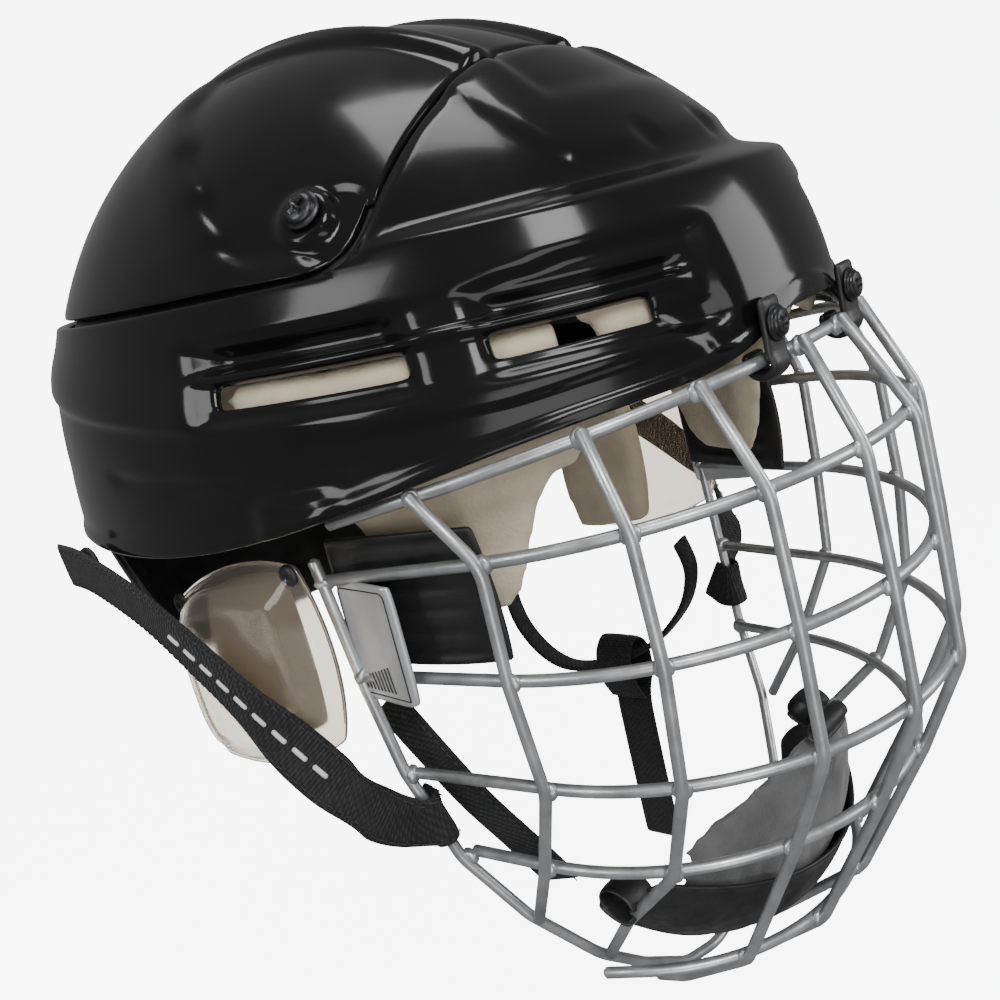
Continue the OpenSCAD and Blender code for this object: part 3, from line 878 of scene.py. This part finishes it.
def flipped(obj, name):
    """A mirror copy of a mesh object about the helmet's middle."""
    mesh = obj.data.copy()
    mesh.transform(Matrix.Scale(-1, 4, (1, 0, 0)))
    mesh.flip_normals()
    twin = new_object(name, mesh)
    for mod in obj.modifiers:
        if mod.type == "SUBSURF":
            rounded(twin, mod.levels)
    return twin


def place_pair(right, slot, material, node):
    """Places a right-hand piece of the helmet, named with _r, and its mirror twin."""
    rounded(right)
    left = flipped(right, right.name[:-1] + "l")
    place(right, "helmet", slot, material, node + "_r")
    place(left, "helmet", slot, material, node + "_l")


# ---------------- side pieces

EAR_Y, EAR_Z, EAR_X = -6.0, 3.5, 96.0
EAR_HALF_W, EAR_HALF_H, EAR_SLANT = 35.0, 30.5, 6.0
# The pad lies behind the rear half of the guard, as shares of the guard's half sizes
EAR_PAD_BACK, EAR_PAD_HALF_W, EAR_PAD_HALF_H = 0.36, 0.53, 0.84
RIVET_AT = ((-32.6, 32), (20.9, 21.5))
RIVET = ((3.2, 0), (3.3, 0.5), (3.0, 1.0), (2.2, 1.4), (1.2, 1.58), (0.9, 1.2), (0.3, 1.1))


def ear_point(u, v, x, bulge):
    """Point on an ear guard's rounded, bulging outline; u runs back and v up, from -1 to 1."""
    ru, rv = u * sqrt(1 - v * v * 0.32), v * sqrt(1 - u * u * 0.32)
    out = x + bulge * (1 - u ** 4) * (1 - v ** 4)
    return Vector((-out, EAR_Y + EAR_HALF_W * ru, EAR_Z + EAR_HALF_H * rv - EAR_SLANT * u))


def make_ear_guards(clear, foam, trim):
    n = 28

    def guard(i, j, x):
        u, v = 2 * i / n - 1, 2 * j / n - 1
        rim = ease((max(abs(u), abs(v)) - 0.84) / 0.1)
        # A flat flange round a bubble with a moulded ridge
        ridge = 1.0 * window(max(abs(u), abs(v)), 0.60, 0.68, 0.05)
        return ear_point(u, v, x, 8.4 * (1 - rim) + 1.0) + Vector((-0.6 * rim - ridge, 0, 0))

    bubble = slab("ear_bubble_r", n, n, guard, EAR_X + 1.9, EAR_X + 0.3)
    place_pair(bubble, "clear", clear, "ear_guard")

    m = 18

    def pad(i, j, face):
        x, bulge = face
        u, v = 2 * i / m - 1, 2 * j / m - 1
        return ear_point(EAR_PAD_BACK + u * EAR_PAD_HALF_W, v * EAR_PAD_HALF_H, x, bulge)

    soft = slab("ear_cushion_r", m, m, pad, (EAR_X - 5.2, 2.5), (EAR_X - 12, -2.5))
    twin = flipped(soft, "ear_cushion_l")
    for pad_obj, node in ((soft, "ear_pad_r"), (twin, "ear_pad_l")):
        puff(pad_obj, 1.2, 0.003)
        place(pad_obj, "helmet", "foam", foam, node)

    rivets = []
    for s in (-1, 1):
        for y, z in RIVET_AT:
            at = (s * (EAR_X + 2.5), y, z)
            rivets.append(lathe(f"rivet_{len(rivets)}", RIVET, at, (s, 0, 0)))
    heads = joined("ear_guard_rivet_heads", rivets)
    place(heads, "helmet", "trim", trim, "ear_guard_rivets")


TEMPLE_T, TEMPLE_Z = (54, 76), (-3, 39)
TEMPLE_OUT, TEMPLE_IN, TEMPLE_TURN = -13.6, -15.5, -4.5


def make_temple_pieces(material):
    nu, nv = 14, 26

    def point(i, j, d):
        u, v = 2 * i / nu - 1, 2 * j / nv - 1
        ru, rv = u * sqrt(1 - 0.10 * v * v), v * sqrt(1 - 0.05 * u * u)
        t, z = mix(*TEMPLE_T, (ru + 1) / 2), mix(*TEMPLE_Z, (rv + 1) / 2)
        d += mix(0, TEMPLE_TURN, (ru + 1) / 2)
        rim = 0.9 * ease((max(abs(u), abs(v)) - 0.8) / 0.12)
        ribs = 0.7 * window(abs(v) % 0.34, 0.14, 0.2, 0.04) * (1 - ease((abs(u) - 0.55) / 0.15))
        return skin(t, z, d + rim - ribs)

    plate = slab("temple_plate_r", nu, nv, point, TEMPLE_OUT, TEMPLE_IN)
    place_pair(plate, "trim", material, "temple_piece")


def make_nape(material):
    nu, nv = 72, 22

    def low(t):
        return mix(-32, -12, ease((abs(t - 180) - 20) / 40))

    def point(i, j, d):
        t, f = mix(114, 246, i / nu), j / nv
        u = abs(2 * i / nu - 1)
        z = mix(low(t), EDGE_LOW - 1, f)
        # Rounded lower corners, a raised border and shallow vertical flutes
        z += 9 * ease((u - 0.88) / 0.12) * (1 - f)
        border = 0.9 * max(ease((u - 0.93) / 0.04), ease((0.09 - f) / 0.05), ease((f - 0.92) / 0.05))
        fluted = window(f, 0.25, 0.7, 0.08) * (1 - ease((u - 0.75) / 0.1))
        flutes = 0.8 * (0.5 + 0.5 * cos(2 * pi * i / 6)) * fluted
        return skin(t, z, d - 8 * (1 - f) + border - flutes - 1.0)

    obj = slab("nape_cradle", nu, nv, point, -2.5, -5.0)
    rounded(obj)
    place(obj, "rear", "trim", material, "nape_piece")


def cross_head(name, at, axis, r, h, shank):
    """A domed screw head with a cross recess and a washer under it."""
    profile = [(r * 0.45, -shank), (r * 0.45, -0.1)]
    profile += [(r * 1.22, -0.1), (r * 1.25, 0.3), (r * 1.2, 0.6), (r * 1.0, 0.65)]
    profile += [(r, h * 0.55), (r * 0.93, h * 0.8), (r * 0.7, h * 0.95), (r * 0.35, h)]
    head = lathe(name + "_head", profile, at, axis)
    axis = Vector(axis).normalized()
    side = axis.orthogonal().normalized()
    cutters = []
    for way in (side, axis.cross(side)):
        other = axis.cross(way)
        points = []
        for a in (-1, 1):
            for b in (-1, 1):
                for depth, taper in ((0.45, 0.6), (1.2, 1)):
                    corner = way * a * r * 0.6 * taper + other * b * r * 0.14
                    points.append(Vector(at) + axis * (h * depth) + corner)
        faces = [(0, 1, 3, 2), (4, 6, 7, 5), (0, 4, 5, 1), (2, 3, 7, 6), (0, 2, 6, 4), (1, 5, 7, 3)]
        cutters.append(mesh_object(name + "_cut", points, faces))
    for cutter in cutters:
        face_outwards(cutter)
        mod = head.modifiers.new("cross", "BOOLEAN")
        mod.operation = "DIFFERENCE"
        mod.object = cutter
        mod.solver = "EXACT"
        bake(head)
        bpy.data.objects.remove(cutter)
    return head


CLIP_X, CLIP_W, CLIP_FACE = 21.0, 9.0, -139.0
HINGE_Y, HINGE_Z = -134.9, 60.2


def make_clips(trim, screw):
    for s, side in ((-1, "r"), (1, "l")):
        x = s * CLIP_X
        path = [Vector((x, CLIP_FACE + 1.4, HINGE_Z + z)) for z in (15, 12, 9, 6, 3, 1)]
        for a in range(190, 391, 20):
            path.append(Vector((x, HINGE_Y + 3.9 * cos(radians(a)), HINGE_Z + 3.9 * sin(radians(a)))))
        hook, _, _ = band(f"wire_hook_{side}", path, lambda f: (1, 0, 0), CLIP_W, 2.6, 4)
        rounded(hook, 2)
        place(hook, "helmet", "trim", trim, f"wire_clip_{side}")
    heads = []
    for s in (-1, 1):
        at = (s * CLIP_X, CLIP_FACE, HINGE_Z + 8.5)
        heads.append(cross_head(f"clip_screw_{s}", at, (0, -1, 0), 3.6, 2.3, 3))
    place(joined("clip_screw_heads", heads), "helmet", "screw", screw, "wire_clip_screws")


def make_size_screws(screw):
    low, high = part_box("size_screws")
    middle = (low + high) / 2 / MM
    x = low[0] / MM + 5.6
    heads = []
    for s in (-1, 1):
        at = Vector((s * abs(x), middle[1], middle[2]))
        axis = outward(at)
        heads.append(cross_head(f"size_screw_{s}", at + axis * 0.4, axis, 4.2, 2.4, 2.0))
    place(joined("size_screw_heads", heads), "rear", "screw", screw, "size_screws")


def make_snaps(trim):
    low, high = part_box("strap_snaps")
    y, z = (low[1] + high[1]) / 2 / MM, (low[2] + high[2]) / 2 / MM
    x = high[0] / MM - 2.4
    profile = [(5, 0), (5.1, 0.6), (4.8, 1.2), (3.8, 1.9), (2.6, 2.1)]
    profile += [(2.3, 2.35), (1.6, 2.4), (1.2, 1.9), (0.4, 1.8)]
    studs = [lathe(f"snap_{s}", profile, (s * x, y, z), (s, 0, 0)) for s in (-1, 1)]
    place(joined("strap_snap_studs", studs), "rear", "trim", trim, "strap_snaps")


# ---------------- cage

WIRE_R, WELD = 1.7, 0.5
BEAD_R, BEAD_H = 2.7, 1.75
BAR_Z = (60.6, 35.2, -0.5, -34, -63.6, -107)
BAR_FRONT = (137.3, 152, 153.6, 154.5, 140, 115)
BAR_R = (93, 84, 83.5, 79.5, 74, 64)
BAR_TILT = (-10, -4, 0, 1.5, 2.5, 4)
BAR_SWEEP = (74, 82, 82, 82, 84, 60)
BAR_LEG = (22, 46, 46, 42, 25, 12)
POST_TOP = (10.5, 42.6, 66, 88)
POST_MID = (15, 43, 67, 82)
POST_LOW = (14.5, 41, 62.4, 74)
POST_FOOT = (
    ((13, -84, -130), (13, -70, -136.5)),
    ((36, -80, -121.5), (36, -70, -124)),
    ((57, -82, -87), (55, -70, -103)),
    ((70.5, -61, -83),),
)
RIM = (
    (91, -34, 33), (89, -38, -4), (86.5, -41, -30), (80, -47, -60), (70, -57, -83),
    (55, -66, -104), (38, -67, -119), (18, -67, -133), (0, -67, -138),
)


def bar_place(k, x, y):
    """From a bar's own flat plane, y behind its middle, into the helmet's frame."""
    tilt = radians(BAR_TILT[k])
    return Vector((x, -BAR_FRONT[k] + y * cos(tilt), BAR_Z[k] + y * sin(tilt)))


def bar_path(k):
    """A bar's arc with a straight leg at each end."""
    r, sweep = BAR_R[k], BAR_SWEEP[k]
    turns = [radians(a) for a in refined([-sweep, 0, sweep], 3)]
    arc = [bar_place(k, r * sin(a), r * (1 - cos(a))) for a in turns]
    ends = []
    for s in (-1, 1):
        a = radians(s * sweep)
        way = (s * cos(a) * BAR_LEG[k], s * sin(a) * BAR_LEG[k])
        ends.append(bar_place(k, r * sin(a) + way[0], r * (1 - cos(a)) + way[1]))
    return [ends[0]] + arc + [ends[1]]


def bar_at(k, x):
    """Where a bar passes at x from the middle."""
    a = asin(min(sin(radians(BAR_SWEEP[k])), x / BAR_R[k]))
    y = BAR_R[k] * (1 - cos(a))
    return Vector((BAR_R[k] * sin(a), -BAR_FRONT[k] + y, BAR_Z[k] + y * tan(radians(BAR_TILT[k]))))


def post_x(n, k):
    """How far from the middle upright n crosses bar k."""
    if k == 0:
        return POST_TOP[n]
    if k < 4:
        return POST_MID[n]
    return POST_LOW[n] if k == 4 else POST_LOW[n] * 0.9


def post_at(n, k):
    p = bar_at(k, post_x(n, k))
    out = Vector((p[0], p[1] + BAR_FRONT[k] - BAR_R[k], 0)).normalized()
    return p + out * (2 * WIRE_R - WELD)


def post_path(n):
    path = [post_at(n, 0) + Vector((0, 0, 1 if n == 3 else 2))] + [post_at(n, k) for k in range(1, 5)]
    if n < 2:
        path.append(post_at(n, 5))
    return path + [Vector(p) for p in POST_FOOT[n]]


def weld_bead(at, w, seed):
    """A small uneven puddle of weld where two wires meet along w."""
    u = w.cross(Vector((0, 0, 1))).normalized()
    v = u.cross(w)
    work = bmesh.new()
    bmesh.ops.create_icosphere(work, subdivisions=3, radius=1.0)
    for vert in work.verts:
        p = vert.co
        rough = 1 + 0.10 * noise.noise(p * 2.3 + Vector((seed * 7.1, 0, 0)))
        spread = u * p[0] * BEAD_R + v * p[1] * BEAD_R + w * p[2] * BEAD_H
        vert.co = (at + spread * rough) * MM
    return from_bmesh(f"bead_{seed}", work)


def make_cage(material):
    def wire(name, path, node):
        place(tube(name, path, WIRE_R), "cage", "wire", material, node)

    for k in range(6):
        wire(f"bar_{k + 1}_wire", bar_path(k), f"bar_{k + 1}")
    for n in range(4):
        path = fillet(post_path(n), 16)
        wire(f"post_{4 - n}_wire", mirrored(path), f"post_{4 - n}")
        wire(f"post_{5 + n}_wire", path, f"post_{5 + n}")
    half = [Vector(p) for p in RIM]
    rim = fillet(mirrored(half) + half[-2::-1], 22)
    wire("rim_wire_bend", rim, "rim_wire")
    beads = []
    for n in range(4):
        for k in range(6 if n < 2 else 5):
            bar, post = bar_at(k, post_x(n, k)), post_at(n, k)
            out = (post - bar).normalized()
            for s in (-1, 1):
                at = (bar + post) / 2
                at = Vector((s * at[0], at[1], at[2]))
                beads.append(weld_bead(at, Vector((s * out[0], out[1], out[2])), len(beads)))
    rim_points = [a.lerp(b, g / 10) for a, b in zip(rim, rim[1:]) for g in range(11)]
    for k in range(1, 5):
        path = bar_path(k)
        for s, end, before in ((-1, path[0], path[1]), (1, path[-1], path[-2])):
            # Where the bar's straight end passes nearest to the rim wire
            leg = [end.lerp(before, f / 20) for f in range(21)]
            p, q = min(
                ((p, q) for p in rim_points for q in leg),
                key=lambda pair: (pair[0] - pair[1]).length,
            )
            w = (p - q).normalized() if (p - q).length > 0.2 else Vector((s, 0, 0))
            beads.append(weld_bead((p + q) / 2, w, len(beads)))
    place(joined("cage_weld_beads", beads), "cage", "wire", material)


PLATE_HALF_W, PLATE_HALF_H, PLATE_TURN = 12.0, 17.0, 7


def make_size_plates(material, ink):
    for s, side in ((-1, "r"), (1, "l")):
        low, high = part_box(f"size_plate_{side}")
        middle = (low + high) / 2 / MM
        turn = Matrix.Rotation(s * radians(PLATE_TURN), 3, "Z")
        nu, nv = 16, 30

        def point(i, j, d, s=s, middle=middle, turn=turn):
            u, v = 2 * i / nu - 1, 2 * j / nv - 1
            corner = 0.07
            ru = u * (1 - corner * v ** 8)
            rv = v * (1 - corner * 0.5 * u ** 8)
            y, z = ru * PLATE_HALF_W, rv * PLATE_HALF_H
            # Its long edges curl slightly towards the wires behind
            curl = 1.1 * ease((abs(u) - 0.86) / 0.14)
            return middle + turn @ Vector((s * (d - curl), y, z))

        plate = slab(f"size_plate_{side}_face", nu, nv, point, 0.75, -0.55)
        rounded(plate)
        place(plate, "cage", "wire", material, f"size_plate_{side}")
        # Hatch lines and a border stand where the words were
        marks = []
        for k in range(9):
            length = 3.2 + 0.5 * k
            y = 7.6 - 1.5 * k
            p = middle + turn @ Vector((s * 0.8, y, -13.5))
            q = middle + turn @ Vector((s * 0.8, y + 1.0, -13.5 + length))
            marks.append(tube(f"mark_{k}", [p, p.lerp(q, 0.5), q], 0.24, 8))
        edge = [(-10, -15), (10, -15), (10, 15), (-10, 15), (-10, -15)]
        border = fillet([middle + turn @ Vector((s * 0.78, y, z)) for y, z in edge], 2.0)
        marks.append(tube("border", border, 0.18, 8))
        place(joined(f"size_plate_{side}_marks", marks), "cage", "wire", ink)


# ---------------- chin cup

CUP_W, CUP_DEPTH, CUP_H = 56.0, 47.0, 60.0
CUP_Y, CUP_Z = -77.0, -62.0
CUP_T, CUP_PAD, CUP_BACK = 2.2, 7.0, 82.0
CUP_FANS = (-38, -25, -12, 0, 12, 25, 38)
# Each clip's middle, width, reach and height
CUP_CLIPS = (
    ((0, -121.5, -50), 15, 2.6, 3.0), ((57, -83, -79), 11, 5.6, 4.4), ((-57, -83, -79), 11, 5.6, 4.4),
)


def lip_angle(u):
    return -15 + 33 * u * u


def shell_angle(u):
    return 28 + 8 * u * u


def cup_point(u, angle, d):
    a = radians(angle)
    side = 1 - 0.42 * u * u
    y = CUP_Y + 10 * u * u - (CUP_DEPTH - d) * cos(a) * side
    z = CUP_Z + 8 * u * u - (CUP_H - d) * sin(a) * side
    return Vector((u * (CUP_W - d), y, z))


def make_chin_cup(trim, pad_material):
    nu, nv = 44, 30

    def hull(i, j, d):
        u, v = 2 * i / nu - 1, j / nv
        lip = 0.7 * max(ease((abs(u) - 0.93) / 0.05), ease((0.05 - v) / 0.04), ease((v - 0.95) / 0.04))
        ribs = 0.7 * window(abs(u), 0.30, 0.34, 0.03) * window(v, 0.2, 0.85, 0.06)
        u *= 1 - 0.05 * (2 * v - 1) ** 4
        return cup_point(u, mix(shell_angle(u), CUP_BACK, v), d + 0.7 - lip + ribs)

    shell = slab("chin_cup_hull", nu, nv, hull, 0, CUP_T - 0.8)
    rounded(shell)
    place(shell, "cage", "trim", trim, "chin_cup_shell")

    def soft(i, j, d):
        u, v = 2 * i / nu - 1, j / nv
        crown = crowned(u, 2 * v - 1, 8)
        base = CUP_T + 1.6
        depth = base + 0.6 * (1 - crown) if d == 0 else base + 1.0 + (CUP_PAD - 2.6) * crown
        return cup_point(u * 0.88, mix(lip_angle(u * 0.88) + 2, CUP_BACK - 5, v), depth)

    pad = slab("chin_cup_pad", nu, nv, soft, 0, 1)
    puff(pad, 1.2, 0.003)
    for v in pad.data.vertices:
        p = v.co / MM
        # Moulded channels that fan out over the pad, and one along its lip
        fan = [abs(p[0] - x - (p[2] + 70) * x * 0.012) for x in CUP_FANS]
        ring = abs(hypot(p[0] / 1.6, p[2] + 84) - 17)
        cut = 1 - ease(min(fan + [ring * 1.2]) / 2.2)
        v.co -= v.normal * 1.3 * MM * cut
    place(pad, "cage", "cup_lining", pad_material, "chin_cup_lining")

    clips = []
    turn = Matrix.Rotation(radians(25), 3, "X")
    for at, wide, reach, tall in CUP_CLIPS:
        loop = [(reach * cos(radians(a)), tall * sin(radians(a))) for a in range(-160, 161, 16)]
        foot = [(d * reach, -tall * (1 - 0.3 * d * d)) for d in (-1, -0.5, 0, 0.5, 1)]
        loop, foot = ([Vector(at) + turn @ Vector((0, *p)) for p in way] for way in (loop, foot))
        hoop, _, _ = band(f"cup_clip_{len(clips)}", loop, lambda f: (1, 0, 0), wide, 1.8, 4)
        tab, _, _ = band(f"cup_clip_{len(clips) + 1}", foot, lambda f: (1, 0, 0), wide + 1, 2.0, 4)
        for part in (hoop, tab):
            rounded(part, 2)
            bake(part)
            clips.append(part)
    place(joined("chin_cup_wire_clips", clips), "cage", "trim", trim, "chin_cup_clips")


# ---------------- webbing, its routes as the CAD has them

WEB_W, WEB_T = 15.0, 1.8
STRAP_WAY = (
    (-103.6, 71, 34), (-106.8, 52, 33), (-110.5, 23, 25), (-111.8, 0, 12), (-110.8, -22, -6),
    (-105, -34, -24), (-96, -37.5, -38.5), (-89.4, -42, -44.4), (-85.6, -47, -45.4),
    (-81.8, -47, -45.8), (-79.9, -44, -45.6), (-80.8, -38, -42.6),
)
LOOP_WAY = (
    (84, 60, -7), (86, 70, -40), (86, 67, -72), (86, 45, -89), (86, 6, -79), (85, -18, -60),
    (83, -28, -42), (81, -27, -28),
)
HANG_WAY = (
    (86.6, 16, -168), (86.6, 16, -120), (87.6, 16, -100), (92.6, 16, -90), (92.4, 16, -79),
    (86, 16, -73.5), (79.6, 16, -79), (79.4, 16, -90), (84.2, 16, -100),
)
CHIN_WAY = ((-78, -31, -14), (-77, -42, -28), (-74, -52, -44), (-68, -60, -60), (-61, -64, -75))
STITCH = (2.6, 1.7, 0.22)  # pitch, length and radius of the thread
DASH = (7.0, 4.2, 0.75)
DASHED = (0.22, 0.46)  # the share of the side strap that carries the dashes


def strap_width(f):
    """The way the side strap's width lies: up the helmet's side, then along the rim wire."""
    a, b = Vector((0, 0.45, 1)), Vector((-0.2, 0.19, 0.96))
    return a.lerp(b, ease((f - 0.35) / 0.2))


def sew(name, body, thread, path, side, up, rows):
    """Rows of stitching as one piece; a row is its offset and which face it lies on."""
    made = [
        stitches(f"{name}_{k}", path, side, up, offset, face * WEB_T * 0.5, *STITCH)
        for k, (offset, face) in enumerate(rows)
    ]
    place(joined(name, made), body, "webbing", thread)


def both_faces(offset):
    return [(-offset, 1), (offset, 1), (-offset, -1), (offset, -1)]


def make_side_strap(side, body, webbing, thread, ink):
    ways = STRAP_WAY if side == "r" else mirrored(STRAP_WAY)
    flip = 1 if side == "r" else -1
    path = spline(ways, 8)

    def across(f):
        way = strap_width(f)
        return Vector((flip * way[0], way[1], way[2]))

    strap, sides, up = band(f"side_strap_{side}_webbing", path, across, WEB_W, WEB_T)
    rounded(strap)
    place(strap, body, "webbing", webbing, f"side_strap_{side}")
    # The face that looks away from the head
    face = 1 if up[len(up) // 3].dot(Vector((-flip, 0, 0))) > 0 else -1
    rows = [(-WEB_W * 0.4, face), (WEB_W * 0.4, face)]
    sew(f"side_strap_{side}_stitching", body, thread, path, sides, up, rows)
    # A plain woven dash line in place of printed words
    part = slice(*(int(len(path) * share) for share in DASHED))
    dashes = stitches(
        f"side_strap_{side}_dashes", path[part], sides[part], up[part], 0, face * WEB_T * 0.42, *DASH
    )
    place(dashes, body, "webbing", ink)


def make_straps(webbing, thread, ink):
    make_side_strap("r", "strap_right", webbing, thread, ink)
    make_side_strap("l", "strap_left", webbing, thread, ink)
    loop, _, _ = band("ear_loop_l_strip", spline(LOOP_WAY, 10), lambda f: (1, 0, 0), 9, 2.2)
    rounded(loop)
    place(loop, "helmet", "webbing", webbing, "ear_loop_l")
    path = spline(HANG_WAY, 8)
    hang, sides, up = band("chin_strap_l_webbing", path, lambda f: (0, 1, 0), WEB_W + 3, WEB_T)
    rounded(hang)
    place(hang, "hanging_strap", "webbing", webbing, "chin_strap_l")
    # Only the straight run is stitched, below the loop
    sew("chin_strap_l_stitching", "hanging_strap", thread, path[:14], sides, up, both_faces(6.8))
    path = spline(CHIN_WAY, 10)
    chin, sides, up = band("chin_strap_r_webbing", path, lambda f: (0, 1, -0.4), WEB_W, WEB_T)
    rounded(chin)
    place(chin, "fastened_strap", "webbing", webbing, "chin_strap_r")
    sew("chin_strap_r_stitching", "fastened_strap", thread, path, sides, up, both_faces(5.8))


# ---------------- the scene

make_camera()
make_lights()
BACKDROP = surface(
    "backdrop_pale", (0.9, 0.9, 0.9), 0.9,
    spread=((3, 2), 0.85, 0.95),
    Emission_Color=(1, 1, 1, 1), Emission_Strength=STAGE_GLOW,
)
make_stage(BACKDROP)
SHELL = surface(
    "shell_gloss_black", (0.006, 0.006, 0.0065), 0.13,
    tint=((16, 3), (0.0045, 0.0045, 0.005), (0.008, 0.008, 0.0085)),
    spread=((38, 6), 0.09, 0.2),
    bumps=[((55, 2), 0.035, 0.0015), ((900, 3, (1, 6, 1)), 0.012, 0.0003)],
    Coat_Weight=0.08, Coat_Roughness=0.04, Specular_IOR_Level=0.26,
)
FOAM = surface(
    "foam_beige", (0.66, 0.57, 0.42), 0.85,
    tint=((60, 5), (0.53, 0.45, 0.32), (0.7, 0.61, 0.46), 0.3, 0.7),
    spread=((300, 3), 0.75, 0.95),
    bumps=[(900, 0.25, 0.0006), ((140, 4), 0.25, 0.0012)],
    Sheen_Weight=0.15,
)
WIRE = surface(
    "wire_satin_silver", (0.5, 0.51, 0.52), 0.34, 0.75,
    tint=((120, 4), (0.4, 0.41, 0.42), (0.56, 0.57, 0.58)),
    spread=((500, 3), 0.28, 0.44),
    bumps=[((700, 3), 0.1, 0.0003)],
)
PLATE = surface(
    "plate_brushed_silver", (0.5, 0.51, 0.52), 0.36, 0.5,
    tint=((90, 5), (0.44, 0.45, 0.46), (0.54, 0.55, 0.56)),
    spread=((420, 4, (1, 1, 12)), 0.3, 0.45),
    bumps=[((700, 3, (1, 1, 14)), 0.06, 0.0002)],
)
CLEAR = surface(
    "guard_clear", (0.34, 0.305, 0.26), 0.06,
    spread=((70, 5), 0.04, 0.12),
    bumps=[((45, 2), 0.05, 0.001)],
    Transmission_Weight=0.80, IOR=1.42,
)
TRIM = surface(
    "trim_textured_black", (0.014, 0.014, 0.015), 0.42,
    tint=((80, 4), (0.010, 0.010, 0.011), (0.019, 0.019, 0.02)),
    spread=((260, 4), 0.34, 0.55),
    bumps=[((1600, 2), 0.16, 0.0003)],
)
WEBBING = webbing_material()
CUP_SOFT = surface(
    "cup_pad_grey", (0.12, 0.12, 0.12), 0.8,
    tint=((70, 5), (0.085, 0.085, 0.087), (0.15, 0.15, 0.152), 0.3, 0.7),
    spread=((220, 4), 0.68, 0.9),
    bumps=[(1300, 0.3, 0.0005), ((120, 4), 0.25, 0.001)],
    Sheen_Weight=0.3,
)
SCREW = surface(
    "screw_black_oxide", (0.035, 0.035, 0.037), 0.32, 0.8,
    tint=((300, 4), (0.02, 0.02, 0.022), (0.06, 0.06, 0.062)),
    spread=((900, 3), 0.24, 0.45),
    bumps=[((1500, 2), 0.08, 0.0002)],
)
THREAD = thread_material("thread_black", (0.03, 0.03, 0.032))
INK = thread_material("dash_white", (0.7, 0.7, 0.68))
MARK = thread_material("mark_dark", (0.03, 0.03, 0.03))

make_foam(FOAM)
make_front_shell(SHELL)
make_rear_shell(SHELL)
make_seam_flange(TRIM)
make_ear_guards(CLEAR, FOAM, TRIM)
make_temple_pieces(TRIM)
make_nape(TRIM)
make_clips(TRIM, SCREW)
make_size_screws(SCREW)
make_snaps(TRIM)
make_cage(WIRE)
make_size_plates(PLATE, MARK)
make_chin_cup(TRIM, CUP_SOFT)
make_straps(WEBBING, THREAD, INK)
